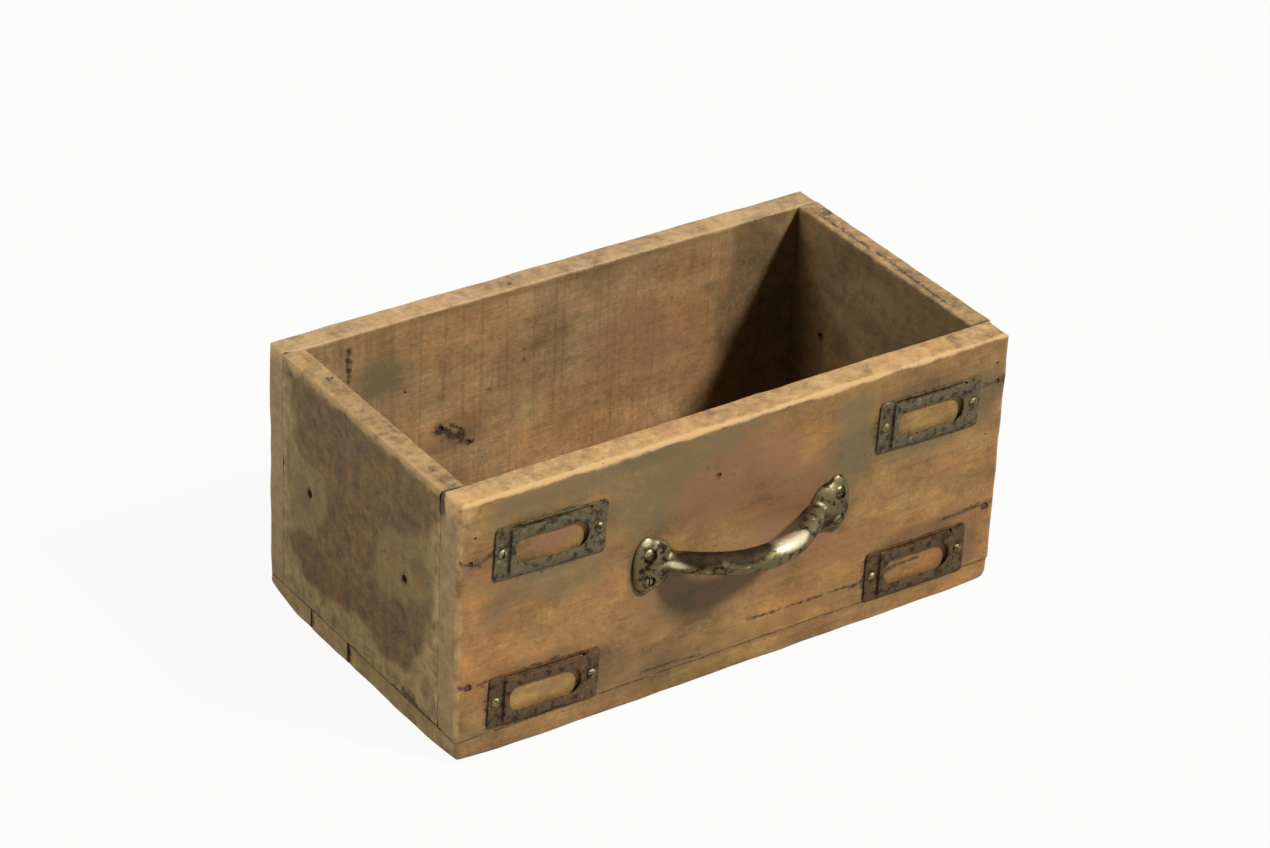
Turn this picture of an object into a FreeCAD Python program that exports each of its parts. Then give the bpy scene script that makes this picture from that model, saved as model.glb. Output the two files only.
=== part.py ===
"""Watercolour paint drawer box: an open wooden drawer with a cast bow handle and four label holders.

Millimetres. The origin is the middle of the underside. +X runs along the front to the right, the
front faces -Y, and +Z is up. Four upright boards stand on three bottom planks. The front and back
boards lap over the ends of the side boards and are nailed to them, and the planks are nailed on
from below. The handle and the label holders are screwed to the front board.
"""

import FreeCAD, Part
import math
import os
import re
import Sketcher
from FreeCAD import Placement, Rotation, Vector

SIZES = {
    # the box
    "box_length": 350.0,          # along the front, over everything
    "box_depth": 192.0,           # front face to back face
    "wall_height": 143.0,         # the upright boards, above the bottom planks
    "front_thickness": 18.0,
    "back_thickness": 16.0,
    "side_thickness": 14.0,
    "plank_thickness": 14.0,
    "front_plank_width": 107.0,
    "middle_plank_width": 37.0,
    "plank_gap": 1.5,             # the planks have shrunk apart
    "rim_round": 2.0,             # worn upper edges of the boards
    "corner_round": 3.0,          # worn outer corners
    # old fixings of a pair of drawer runners, through the side boards
    "runner_hole_radius": 2.5,
    "runner_hole_pitch": 96.0,
    "runner_hole_setback": 28.5,  # rear hole to the back board
    "runner_hole_height": 86.0,   # above the underside
    # nails
    "nail_head_radius": 3.2,
    "nail_head_thickness": 1.2,
    "nail_shank": 2.6,            # side of the square shank
    "nail_sink": 0.6,             # heads lie this far below the wood
    "wall_nail_length": 50.0,
    "plank_nail_length": 38.0,
    "left_nail_low": 46.0,        # heights of the nails above the underside
    "left_nail_high": 121.0,
    "right_nail_low": 49.0,
    "right_nail_high": 129.0,
    "plank_nail_inset": 46.0,     # outer nails of a plank's row, from the ends of the box
    "plank_nail_edge": 9.0,       # a plank's row of nails, from the front or back face
    # handle
    "handle_across": 1.2,         # middle of the handle from the middle of the front
    "handle_height": 85.0,        # above the underside
    "foot_spread": 61.2,          # middle of the handle to the middle of a foot
    "foot_half_width": 8.8,
    "foot_half_height": 18.0,
    "foot_dome": 4.4,
    "bow_reach": 49.5,            # middle of the handle to where the bar meets the board
    "bow_rise": 25.0,             # the bar's middle line stands this far off the board
    "bar_radius": 7.1,
    "neck_radius": 5.8,
    "shoulder_spread": 55.0,      # middle of the handle to the middle of a shoulder
    "shoulder_half_width": 8.0,
    "shoulder_half_height": 12.5,
    "shoulder_dome": 7.0,
    "screw_pitch": 16.6,          # the two screws of a foot
    "screw_seat": 2.0,            # underside of a screw head above the board
    "screw_head_radius": 3.6,
    "screw_head_height": 2.4,
    "screw_shank_radius": 2.0,
    "screw_length": 15.0,         # under the head
    "screw_slot_width": 0.9,
    "screw_slot_depth": 1.2,
    "screw_play": 0.2,            # hole in the foot around the shank, and recess around the head
    # label holders
    "holder_length": 68.0,
    "holder_height": 31.0,
    "holder_sheet": 0.8,
    "holder_ear": 9.0,
    "holder_corner": 2.5,
    "frame_height": 27.0,
    "frame_rise": 2.4,            # front of the pressed frame above the board
    "window_length": 44.0,
    "window_height": 16.0,
    "window_corner": 6.5,
    "upper_left_inset": 55.0,     # middle of a holder, from its end of the box
    "upper_left_height": 120.5,
    "upper_right_inset": 53.0,
    "upper_right_height": 122.0,
    "lower_left_inset": 53.5,
    "lower_left_height": 30.5,
    "lower_right_inset": 54.5,
    "lower_right_height": 28.5,
    # label holder screws
    "pin_head_radius": 2.8,
    "pin_head_height": 1.4,
    "pin_shank_radius": 1.3,
    "pin_length": 12.0,           # under the head
    "pin_slot_width": 0.7,
    "pin_slot_depth": 0.7,
    "pin_play": 0.2,
}

SLOPES = {  # slope of the screw slots in degrees, upper or left screw first
    "handle_left_screws": (25, 90),
    "handle_right_screws": (0, 35),
    "upper_left_label_screws": (80, 20),
    "upper_right_label_screws": (150, 60),
    "lower_left_label_screws": (120, 5),
    "lower_right_label_screws": (35, 130),
}

doc = FreeCAD.newDocument("drawer_box")
sheet = doc.addObject("Spreadsheet::Sheet", "Sizes")
for row, (alias, value) in enumerate(SIZES.items(), start=1):
    sheet.set(f"A{row}", alias)
    sheet.set(f"B{row}", str(value))
    sheet.setAlias(f"B{row}", alias)
doc.recompute()

parts = []  # the objects that are written out, one for each named piece


# ---------------------------------------------------------------- helpers

def from_sheet(text):
    """An expression in which every size named in the sheet is looked up there."""
    return re.sub(r"[a-z_]+", lambda word: f"Sizes.{word[0]}" if word[0] in SIZES else word[0], text)


def tie(thing, path, text):
    """Binds one property of a document object to the sheet."""
    thing.setExpression(path, from_sheet(text))


def new_body(name, x="0", y="0", z="0", turn=0):
    """An empty body for one piece, its origin placed from the sheet and turned about Z."""
    body = doc.addObject("PartDesign::Body", name)
    body.Label = name
    body.Placement = Placement(Vector(0, 0, 0), Rotation(Vector(0, 0, 1), turn))
    for axis, text in zip("xyz", (x, y, z)):
        tie(body, f"Placement.Base.{axis}", text)
    parts.append(body)
    return body


def origin_plane(body, role):
    """One of the body's own three planes."""
    return next(plane for plane in body.Origin.OriginFeatures if plane.Role == role)


def sketch_on(body, role, offset="0", across="0", up="0", slope=0):
    """A sketch on an origin plane, moved out of the plane by offset and within it by across and up."""
    sketch = body.newObject("Sketcher::SketchObject", f"{body.Name}_sketch")
    sketch.AttachmentSupport = (origin_plane(body, role), "")
    sketch.MapMode = "FlatFace"
    sketch.AttachmentOffset = Placement(Vector(0, 0, 0), Rotation(Vector(0, 0, 1), slope))
    for axis, text in zip("xyz", (across, up, offset)):
        tie(sketch, f"AttachmentOffset.Base.{axis}", text)
    return sketch


def dimension(sketch, text, kind, *where):
    """A dimensional constraint that follows the sheet."""
    index = sketch.addConstraint(Sketcher.Constraint(kind, *where, 1.0))
    tie(sketch, f"Constraints[{index}]", text)


def rectangle(sketch, left, bottom, width, height):
    """A rectangle whose lower left corner and sides follow the sheet."""
    first = sketch.GeometryCount
    corners = [Vector(1, 1, 0), Vector(9, 1, 0), Vector(9, 5, 0), Vector(1, 5, 0)]
    for k in range(4):
        sketch.addGeometry(Part.LineSegment(corners[k], corners[(k + 1) % 4]), False)
    for k in range(4):
        sketch.addConstraint(Sketcher.Constraint("Coincident", first + k, 2, first + (k + 1) % 4, 1))
    for side in (first, first + 2):
        sketch.addConstraint(Sketcher.Constraint("Horizontal", side))
    for side in (first + 1, first + 3):
        sketch.addConstraint(Sketcher.Constraint("Vertical", side))
    dimension(sketch, left, "DistanceX", -1, 1, first, 1)
    dimension(sketch, bottom, "DistanceY", -1, 1, first, 1)
    dimension(sketch, width, "DistanceX", first, 1, first, 2)
    dimension(sketch, height, "DistanceY", first + 1, 1, first + 1, 2)


def circle(sketch, radius, across=None, up=None):
    """A circle. Where a place isn't given, its middle lies on the sketch's own axis."""
    index = sketch.addGeometry(Part.Circle(Vector(1, 1, 0), Vector(0, 0, 1), 1), False)
    dimension(sketch, radius, "Radius", index)
    if across is None:
        sketch.addConstraint(Sketcher.Constraint("PointOnObject", index, 3, -2))
    else:
        dimension(sketch, across, "DistanceX", -1, 1, index, 3)
    if up is None:
        sketch.addConstraint(Sketcher.Constraint("PointOnObject", index, 3, -1))
    else:
        dimension(sketch, up, "DistanceY", -1, 1, index, 3)


def squares(sketch, spots, side):
    """Squares of one size around the given middles."""
    for across, up in spots:
        rectangle(sketch, f"{across} - {side} / 2", f"{up} - {side} / 2", side, side)


def pad(body, sketch, length, inward=False):
    """Raises a solid on a sketch, or behind it where inward is set."""
    feature = body.newObject("PartDesign::Pad", f"{body.Name}_pad")
    feature.Profile = sketch
    feature.Reversed = inward
    tie(feature, "Length", length)
    sketch.Visibility = False
    return feature


def pocket(body, sketch, depth, forward=False):
    """Cuts a sketch into the solid behind it, or in front of it where forward is set."""
    doc.recompute()
    before = body.Shape.Volume
    feature = body.newObject("PartDesign::Pocket", f"{body.Name}_pocket")
    feature.Profile = sketch
    feature.Reversed = forward
    tie(feature, "Length", depth)
    doc.recompute()
    if not feature.Shape.Volume < before:
        raise RuntimeError(f"a cut in {body.Label} removed nothing")
    return feature


def ease_edges(body, kind, size, wanted):
    """Rounds or bevels the edges of the body's last feature that pass the test."""
    doc.recompute()
    base = body.Tip
    names = [f"Edge{n}" for n, edge in enumerate(base.Shape.Edges, start=1) if wanted(edge)]
    feature = body.newObject(f"PartDesign::{kind}", f"{body.Name}_{kind}")
    feature.Base = (base, names)
    tie(feature, "Radius" if kind == "Fillet" else "Size", size)
    doc.recompute()


def middle(edge):
    """The midpoint of an edge's box."""
    return edge.BoundBox.Center


def runs_along(edge, axis):
    """True for a straight edge parallel to X, Y or Z."""
    box = edge.BoundBox
    spans = {"X": box.XLength, "Y": box.YLength, "Z": box.ZLength}
    return all(span < 1e-6 for name, span in spans.items() if name != axis)


def place_on(feature, body, role, across, up, offset="0"):
    """Attaches a primitive to an origin plane, its own axis square to the plane."""
    feature.AttachmentSupport = (origin_plane(body, role), "")
    feature.MapMode = "FlatFace"
    for axis, text in zip("xyz", (across, up, offset)):
        tie(feature, f"AttachmentOffset.Base.{axis}", text)


def prisms(body, kind, flats, role, spots, radius, height, offset="0"):
    """Small rounds drawn with a few flats, added to the body or cut from it, standing on a plane."""
    for across, up in spots:
        feature = body.newObject(f"PartDesign::{kind}Prism", f"{body.Name}_{kind}")
        place_on(feature, body, role, across, up, offset)
        feature.Polygon = flats
        tie(feature, "Circumradius", radius)
        tie(feature, "Height", height)


def nail_holes(body, role, spots, depth, offset="0", forward=False):
    """Square holes that nail shanks fill."""
    sketch = sketch_on(body, role, offset)
    squares(sketch, spots, "nail_shank")
    pocket(body, sketch, depth, forward)


def drill(body, role, spots, radius, depth):
    """Round holes of one size, drilled from a plane."""
    sketch = sketch_on(body, role)
    for across, up in spots:
        circle(sketch, radius, across, up)
    pocket(body, sketch, depth)


# ---------------------------------------------------------------- where the fasteners go

HEAD_FLATS = 16  # small heads and shanks are drawn with flats, to keep the model light
SHANK_FLATS = 8
SIDE_MIDDLE = "( box_length - side_thickness ) / 2"  # middle of a side board's thickness
SIDE_LENGTH = "( box_depth - front_thickness - back_thickness )"
HEAD_SEAT = "( nail_sink + nail_head_thickness )"
PLANK_NAIL_REACH = "( plank_nail_length + nail_sink - plank_thickness )"  # into the boards above
FRONT_PLANK_MIDDLE = "front_plank_width / 2"  # from the front face
MIDDLE_PLANK_MIDDLE = "( front_plank_width + plank_gap + middle_plank_width / 2 )"
HOLDERS = {  # where the middle of each label holder lies along the front
    name: f"{sign} * ( box_length / 2 - {name}_inset )"
    for name, sign in (("upper_left", "-1"), ("upper_right", "1"), ("lower_left", "-1"), ("lower_right", "1"))
}


def wall_nail_spots(side, sign):
    """The two nails at one end of a lap board, seen from outside the box."""
    across = f"{sign} * {SIDE_MIDDLE}"
    return [(across, f"{side}_nail_{level} - plank_thickness") for level in ("low", "high")]


def plank_row_spots(edge):
    """The row of four nails that fastens a plank to the lap board above it."""
    reach = "( box_length / 2 - plank_nail_inset )"
    return [(f"{share} * {reach}", edge) for share in ("-1", "-1 / 3", "1 / 3", "1")]


FRONT_NAILS = {"left": wall_nail_spots("left", "-1"), "right": wall_nail_spots("right", "1")}
BACK_NAILS = {"left": wall_nail_spots("left", "1"), "right": wall_nail_spots("right", "-1")}
HANDLE_SCREWS = [
    (f"handle_across + {foot} * foot_spread", f"handle_height - plank_thickness + {end} * screw_pitch / 2")
    for foot in ("-1", "1") for end in ("-1", "1")
]
HOLDER_SCREWS = [
    (f"{across} + {ear} * ( holder_length - holder_ear ) / 2", f"{holder}_height - plank_thickness")
    for holder, across in HOLDERS.items() for ear in ("-1", "1")
]


# ---------------------------------------------------------------- boards

def board(body, role, corner, size, thickness, forward=False):
    """A plain board behind its outer face, or in front of it where forward is set."""
    outline = sketch_on(body, role)
    rectangle(outline, *corner, *size)
    pad(body, outline, thickness, inward=not forward)
    doc.recompute()
    return body.Tip.Shape.BoundBox


def lap_board(name, thickness, y, turn, nails):
    """The front or back board: it covers the ends of both side boards."""
    body = new_body(name, "0", y, "plank_thickness", turn)
    box = board(body, "XZ_Plane", ("-1 * box_length / 2", "0"), ("box_length", "wall_height"), thickness)
    ease_edges(body, "Fillet", "corner_round", lambda e: runs_along(e, "Z") and middle(e).y < box.YMin + 0.01)
    ease_edges(body, "Fillet", "rim_round", lambda e: runs_along(e, "X") and middle(e).z > box.ZMax - 0.01)
    spots = nails["left"] + nails["right"]
    prisms(body, "Subtractive", HEAD_FLATS, "XZ_Plane", spots,
           "nail_head_radius", HEAD_SEAT, f"-1 * {HEAD_SEAT}")
    nail_holes(body, "XZ_Plane", spots, thickness)
    nail_holes(body, "XY_Plane", plank_row_spots("plank_nail_edge"), PLANK_NAIL_REACH, forward=True)
    return body


def side_board(name, x, y, turn, runner_holes, plank_nails, near, far):
    """A side board between the lap boards. Near and far are the heights and depths of its end nails."""
    body = new_body(name, x, y, "plank_thickness", turn)
    box = board(body, "XZ_Plane", ("0", "0"), (SIDE_LENGTH, "wall_height"), "side_thickness")
    ease_edges(body, "Fillet", "rim_round", lambda e: runs_along(e, "X") and middle(e).z > box.ZMax - 0.01)
    drill(body, "XZ_Plane", runner_holes, "runner_hole_radius", "side_thickness")
    nail_holes(body, "YZ_Plane", near[0], near[1], forward=True)
    nail_holes(body, "YZ_Plane", far[0], far[1], offset=SIDE_LENGTH)
    nail_holes(body, "XY_Plane", plank_nails, PLANK_NAIL_REACH, forward=True)


def plank(name, y, width, nails, worn_edge=None):
    """One plank of the bottom, its grain along the box. Outer planks have one worn long edge."""
    body = new_body(name, "0", y, "0")
    corner = ("-1 * box_length / 2", "0")
    box = board(body, "XY_Plane", corner, ("box_length", width), "plank_thickness", forward=True)
    ease_edges(body, "Fillet", "rim_round", lambda e: runs_along(e, "Y") and middle(e).z < 0.01)
    if worn_edge:
        edge_y = {"front": box.YMin, "back": box.YMax}[worn_edge]
        ease_edges(body, "Fillet", "rim_round", lambda e: e.BoundBox.XLength > box.XLength / 2
                    and middle(e).z < 0.01 and abs(middle(e).y - edge_y) < 0.01)
    prisms(body, "Subtractive", HEAD_FLATS, "XY_Plane", nails, "nail_head_radius", HEAD_SEAT)
    nail_holes(body, "XY_Plane", nails, "plank_thickness", forward=True)


# ---------------------------------------------------------------- fasteners

def nails(name, place, turn, role, spots, length, forward=False):
    """A group of old nails driven from a plane: round heads on square shanks with blunt ends."""
    body = new_body(name, *place, turn)
    start = "nail_sink" if forward else f"-1 * {HEAD_SEAT}"
    prisms(body, "Additive", HEAD_FLATS, role, spots, "nail_head_radius", "nail_head_thickness", start)
    shanks = sketch_on(body, role, HEAD_SEAT if forward else f"-1 * {HEAD_SEAT}")
    squares(shanks, spots, "nail_shank")
    pad(body, shanks, f"{length} - nail_head_thickness", inward=not forward)


def screws(name, place, kind, seat, spots):
    """Slotted screws with raised heads. Seat is how far the undersides of the heads stand off the board."""
    body = new_body(name, *place)
    length = f"{kind}_length"
    prisms(body, "Additive", SHANK_FLATS, "XZ_Plane", spots,
           f"{kind}_shank_radius", length, f"{seat} - {length}")
    prisms(body, "Additive", HEAD_FLATS, "XZ_Plane", spots,
           f"{kind}_head_radius", f"{kind}_head_height", seat)
    for (across, up), slope in zip(spots, SLOPES[name]):
        slot = sketch_on(body, "XZ_Plane", f"{seat} + {kind}_head_height", across, up, slope)
        rectangle(slot, f"-1.2 * {kind}_head_radius", f"{kind}_slot_width / -2",
                  f"2.4 * {kind}_head_radius", f"{kind}_slot_width")
        pocket(body, slot, f"{kind}_slot_depth")


# ---------------------------------------------------------------- handle

BOW_STATIONS = 17                    # round sections along the bar
BOW_ENDS = 1.15                      # the bar's ends, as a share of its reach, before they are trimmed
NECK_STARTS, NECK_ENDS = 0.35, 0.82  # the bar narrows between these shares of its reach
DOME_LEVELS = (0, 0.4, 0.72, 0.95)   # where the tiers of a dome meet, as shares of its full height


def bow_section(body, share):
    """One round section of the bar, square to its middle line, which bows as a parabola."""
    sketch = body.newObject("Sketcher::SketchObject", f"{body.Name}_section")
    sketch.AttachmentSupport = (origin_plane(body, "YZ_Plane"), "")
    sketch.MapMode = "FlatFace"
    sketch.AttachmentOffset = Placement(Vector(0, 0, 0), Rotation(Vector(0, 1, 0), 1))
    tie(sketch, "AttachmentOffset.Base.x", f"{share * share - 1} * bow_rise")
    tie(sketch, "AttachmentOffset.Base.z", f"{share} * bow_reach")
    tie(sketch, "AttachmentOffset.Rotation.Angle", f"atan({2 * share} * bow_rise / bow_reach)")
    along = min(max((abs(share) - NECK_STARTS) / (NECK_ENDS - NECK_STARTS), 0), 1)
    slimmer = along * along * (3 - 2 * along)
    circle(sketch, f"bar_radius + {slimmer} * ( neck_radius - bar_radius )")
    return sketch


def straight_loft(body, name, sections):
    """Joins sections by straight-sided stretches."""
    loft = body.newObject("PartDesign::AdditiveLoft", name)
    loft.Profile = sections[0]
    loft.Sections = [(section, [""]) for section in sections[1:]]
    loft.Ruled = True
    for section in sections:
        section.Visibility = False


def oval(sketch, half_width, half_height):
    """An upright oval: two half circles joined by straight sides."""
    ends = []
    for up, first in ((2, 0), (-2, math.pi)):
        round_end = Part.Circle(Vector(0, up, 0), Vector(0, 0, 1), 1)
        ends.append(sketch.addGeometry(Part.ArcOfCircle(round_end, first, first + math.pi)))
    sides = [
        sketch.addGeometry(Part.LineSegment(Vector(across, -2 * across, 0), Vector(across, 2 * across, 0)))
        for across in (-1, 1)
    ]
    for end, side, other in ((ends[0], *sides), (ends[1], *sides[::-1])):
        sketch.addConstraint(Sketcher.Constraint("Tangent", end, 2, side, 1))
        sketch.addConstraint(Sketcher.Constraint("Tangent", other, 2, end, 1))
    sketch.addConstraint(Sketcher.Constraint("Vertical", sides[0]))
    sketch.addConstraint(Sketcher.Constraint("PointOnObject", ends[0], 3, -2))
    sketch.addConstraint(Sketcher.Constraint("Symmetric", ends[0], 3, ends[1], 3, -1, 1))
    dimension(sketch, half_width, "Radius", ends[0])
    dimension(sketch, f"2 * ( {half_height} - {half_width} )", "DistanceY", ends[1], 3, ends[0], 3)


def oval_dome(body, across, half_width, half_height, rise):
    """A domed oval on the board, raised in tiers whose sides lean in further each time."""
    rings = [(level, (1 - level * level) ** 0.5) for level in DOME_LEVELS]
    for (low, wide), (high, narrow) in zip(rings, rings[1:]):
        tier = sketch_on(body, "XZ_Plane", f"{low} * {rise}", across)
        oval(tier, f"{wide} * {half_width}", f"{half_height} - {1 - wide} * {half_width}")
        raised = pad(body, tier, f"{high - low} * {rise}")
        tie(raised, "TaperAngle", f"-1 * atan({wide - narrow} * {half_width} / ( {high - low} * {rise} ))")


def bow_handle():
    """The cast handle: a round bar that bows out, and swells at its shoulders into two domed oval feet."""
    body = new_body("handle", "handle_across", "-1 * box_depth / 2", "handle_height")
    for sign in ("-1", "1"):
        oval_dome(body, f"{sign} * foot_spread", "foot_half_width", "foot_half_height", "foot_dome")
        oval_dome(body, f"{sign} * shoulder_spread", "shoulder_half_width", "shoulder_half_height",
                  "shoulder_dome")
    shares = [BOW_ENDS * (2 * k / (BOW_STATIONS - 1) - 1) for k in range(BOW_STATIONS)]
    straight_loft(body, "bow", [bow_section(body, share) for share in shares])
    behind = sketch_on(body, "XZ_Plane")
    reach = "( foot_spread + foot_half_width )"
    rectangle(behind, f"-1 * {reach}", "-1 * foot_half_height", f"2 * {reach}", "2 * foot_half_height")
    pocket(body, behind, "bow_rise")
    spots = [
        (f"{foot} * foot_spread", f"{end} * screw_pitch / 2")
        for foot in ("-1", "1") for end in ("-1", "1")
    ]
    prisms(body, "Subtractive", HEAD_FLATS, "XZ_Plane", spots,
           "screw_head_radius + screw_play", "shoulder_dome", "screw_seat")
    prisms(body, "Subtractive", SHANK_FLATS, "XZ_Plane", spots,
           "screw_shank_radius + screw_play", "screw_seat")


# ---------------------------------------------------------------- label holders

def label_holder(name, across, height):
    """A pressed sheet-metal card frame: two flat ears, and a raised frame open at the top."""
    body = new_body(name, across, "-1 * box_depth / 2", height)
    half_frame = "( holder_length / 2 - holder_ear )"
    ears = sketch_on(body, "XZ_Plane")
    for left in ("-1 * holder_length / 2", f"{half_frame} - holder_sheet"):
        rectangle(ears, left, "-1 * holder_height / 2", "holder_ear + holder_sheet", "holder_height")
    pad(body, ears, "holder_sheet")
    doc.recompute()
    ends = body.Tip.Shape.BoundBox
    ease_edges(body, "Chamfer", "holder_corner",
               lambda e: runs_along(e, "Y") and abs(middle(e).x) > ends.XMax - 0.01)
    frame = sketch_on(body, "XZ_Plane")
    rectangle(frame, f"-1 * {half_frame}", "-1 * frame_height / 2", f"2 * {half_frame}", "frame_height")
    pad(body, frame, "frame_rise")
    doc.recompute()
    front = body.Tip.Shape.BoundBox.YMin
    ease_edges(body, "Chamfer", "holder_sheet", lambda e: e.BoundBox.YMax < front + 0.01)
    card = sketch_on(body, "XZ_Plane")
    rectangle(card, f"holder_sheet - {half_frame}", "holder_sheet - frame_height / 2",
              f"2 * {half_frame} - 2 * holder_sheet", "frame_height")
    pocket(body, card, "frame_rise - holder_sheet", forward=True)
    window = sketch_on(body, "XZ_Plane", "frame_rise")
    rectangle(window, "-1 * window_length / 2", "-1 * window_height / 2", "window_length", "window_height")
    pocket(body, window, "holder_sheet")
    window_end = SIZES["window_length"] / 2
    ease_edges(body, "Fillet", "window_corner",
               lambda e: runs_along(e, "Y") and abs(abs(middle(e).x) - window_end) < 0.01)
    ear_holes = [(f"{ear} * ( holder_length - holder_ear ) / 2", "0") for ear in ("-1", "1")]
    prisms(body, "Subtractive", SHANK_FLATS, "XZ_Plane", ear_holes,
           "pin_shank_radius + pin_play", "holder_sheet")


# ---------------------------------------------------------------- the box

FRONT_FACE = "-1 * box_depth / 2"
BACK_FACE = "box_depth / 2"

front_board = lap_board("front_board", "front_thickness", FRONT_FACE, 0, FRONT_NAILS)
for spots, kind, seat in ((HANDLE_SCREWS, "screw", "screw_seat"), (HOLDER_SCREWS, "pin", "holder_sheet")):
    depth = f"( {kind}_length - {seat} )"
    prisms(front_board, "Subtractive", SHANK_FLATS, "XZ_Plane", spots,
           f"{kind}_shank_radius", depth, f"-1 * {depth}")
lap_board("back_board", "back_thickness", BACK_FACE, 180, BACK_NAILS)

end_nails = {}
for side in ("left", "right"):
    spots = [("side_thickness / 2", f"{side}_nail_{level} - plank_thickness") for level in ("low", "high")]
    for end in ("front", "back"):
        end_nails[side, end] = (spots, f"wall_nail_length + nail_sink - {end}_thickness")

side_board(
    "left_side_board", "-1 * box_length / 2", f"{BACK_FACE} - back_thickness", -90,
    [("runner_hole_setback", "runner_hole_height - plank_thickness"),
     ("runner_hole_setback + runner_hole_pitch", "runner_hole_height - plank_thickness")],
    [(f"box_depth - back_thickness - {across}", "side_thickness / 2")
     for across in (FRONT_PLANK_MIDDLE, MIDDLE_PLANK_MIDDLE)],
    end_nails["left", "back"], end_nails["left", "front"])
side_board(
    "right_side_board", "box_length / 2", f"{FRONT_FACE} + front_thickness", 90,
    [(f"{SIDE_LENGTH} - runner_hole_setback - runner_hole_pitch", "runner_hole_height - plank_thickness"),
     (f"{SIDE_LENGTH} - runner_hole_setback", "runner_hole_height - plank_thickness")],
    [(f"{across} - front_thickness", "side_thickness / 2")
     for across in (FRONT_PLANK_MIDDLE, MIDDLE_PLANK_MIDDLE)],
    end_nails["right", "front"], end_nails["right", "back"])

back_plank_width = "box_depth - front_plank_width - middle_plank_width - 2 * plank_gap"
side_nails = [(f"{sign} * {SIDE_MIDDLE}", None) for sign in ("-1", "1")]
plank_sets = {
    "front_plank": (FRONT_FACE, "front_plank_width", "front",
                    plank_row_spots("plank_nail_edge") + [(x, FRONT_PLANK_MIDDLE) for x, _ in side_nails]),
    "middle_plank": (f"{FRONT_FACE} + front_plank_width + plank_gap", "middle_plank_width", None,
                     [(x, "middle_plank_width / 2") for x, _ in side_nails]),
    "back_plank": (f"{BACK_FACE} - ( {back_plank_width} )", back_plank_width, "back",
                   plank_row_spots(f"{back_plank_width} - plank_nail_edge")),
}
for name, (y, width, worn_edge, spots) in plank_sets.items():
    plank(f"bottom_{name}", y, width, spots, worn_edge)
    nails(f"{name}_nails", ("0", y, "0"), 0, "XY_Plane", spots, "plank_nail_length", forward=True)

for side in ("left", "right"):
    nails(f"front_{side}_nails", ("0", FRONT_FACE, "plank_thickness"), 0,
          "XZ_Plane", FRONT_NAILS[side], "wall_nail_length")
    nails(f"back_{side}_nails", ("0", BACK_FACE, "plank_thickness"), 180,
          "XZ_Plane", BACK_NAILS[side], "wall_nail_length")

bow_handle()
foot_screws = [("0", f"{end} * screw_pitch / 2") for end in ("1", "-1")]
for side, sign in (("left", "-1"), ("right", "1")):
    place = (f"handle_across + {sign} * foot_spread", FRONT_FACE, "handle_height")
    screws(f"handle_{side}_screws", place, "screw", "screw_seat", foot_screws)
ear_screws = [(f"{ear} * ( holder_length - holder_ear ) / 2", "0") for ear in ("-1", "1")]
for holder, across in HOLDERS.items():
    label_holder(f"{holder}_label_holder", across, f"{holder}_height")
    place = (across, FRONT_FACE, f"{holder}_height")
    screws(f"{holder}_label_screws", place, "pin", "holder_sheet", ear_screws)

# ---------------------------------------------------------------- check and write

doc.recompute()
for thing in doc.Objects:
    if "Invalid" in thing.State or "Error" in thing.State:
        raise RuntimeError(f"{thing.Name} failed: {thing.State}")
os.makedirs("parts", exist_ok=True)
for part in parts:
    if part.Shape.isNull() or not part.Shape.isValid():
        raise RuntimeError(f"{part.Label} isn't a valid solid")
    part.Shape.exportStep(os.path.join("parts", f"{part.Label}.step"))
    print(f"{part.Label}: {len(part.Shape.Solids)} solid(s), {part.Shape.Volume:.0f} mm3")
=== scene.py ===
# %% [markdown]
# # An old paint drawer
#
# The real object is a drawer of old pine that held watercolour paints. Four boards stand on three bottom
# planks, nailed together, and the front carries a cast brass handle and four pressed brass label holders.
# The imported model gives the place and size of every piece. Here each board, fitting and fixing gets its
# worn shape and its finish.

# %% Load the frame
import math

import bmesh
import bpy
from mathutils import Matrix, Vector, noise


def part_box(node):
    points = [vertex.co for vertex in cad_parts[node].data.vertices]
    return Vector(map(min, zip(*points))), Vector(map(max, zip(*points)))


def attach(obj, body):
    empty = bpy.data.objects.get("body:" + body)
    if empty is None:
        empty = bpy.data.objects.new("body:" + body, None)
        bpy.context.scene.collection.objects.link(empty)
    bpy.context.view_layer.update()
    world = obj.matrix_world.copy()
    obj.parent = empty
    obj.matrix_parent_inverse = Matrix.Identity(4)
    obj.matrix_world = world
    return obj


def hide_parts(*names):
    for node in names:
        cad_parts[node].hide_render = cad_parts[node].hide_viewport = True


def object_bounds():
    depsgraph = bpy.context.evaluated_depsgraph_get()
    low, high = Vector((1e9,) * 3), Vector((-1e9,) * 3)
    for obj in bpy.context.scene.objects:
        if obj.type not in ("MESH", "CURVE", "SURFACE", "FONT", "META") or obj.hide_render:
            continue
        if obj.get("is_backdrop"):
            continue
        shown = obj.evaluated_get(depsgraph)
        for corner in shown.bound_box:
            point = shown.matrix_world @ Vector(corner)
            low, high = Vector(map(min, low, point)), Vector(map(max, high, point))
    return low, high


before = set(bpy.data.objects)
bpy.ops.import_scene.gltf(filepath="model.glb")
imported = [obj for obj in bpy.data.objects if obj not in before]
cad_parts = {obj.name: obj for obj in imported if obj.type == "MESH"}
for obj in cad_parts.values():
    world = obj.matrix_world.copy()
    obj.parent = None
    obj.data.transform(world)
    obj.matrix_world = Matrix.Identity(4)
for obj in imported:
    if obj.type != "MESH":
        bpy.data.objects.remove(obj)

cad_low, cad_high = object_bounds()
MM = 0.001
print("drawer", [round((b - a) / MM, 1) for a, b in zip(cad_low, cad_high)], "mm")

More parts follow.
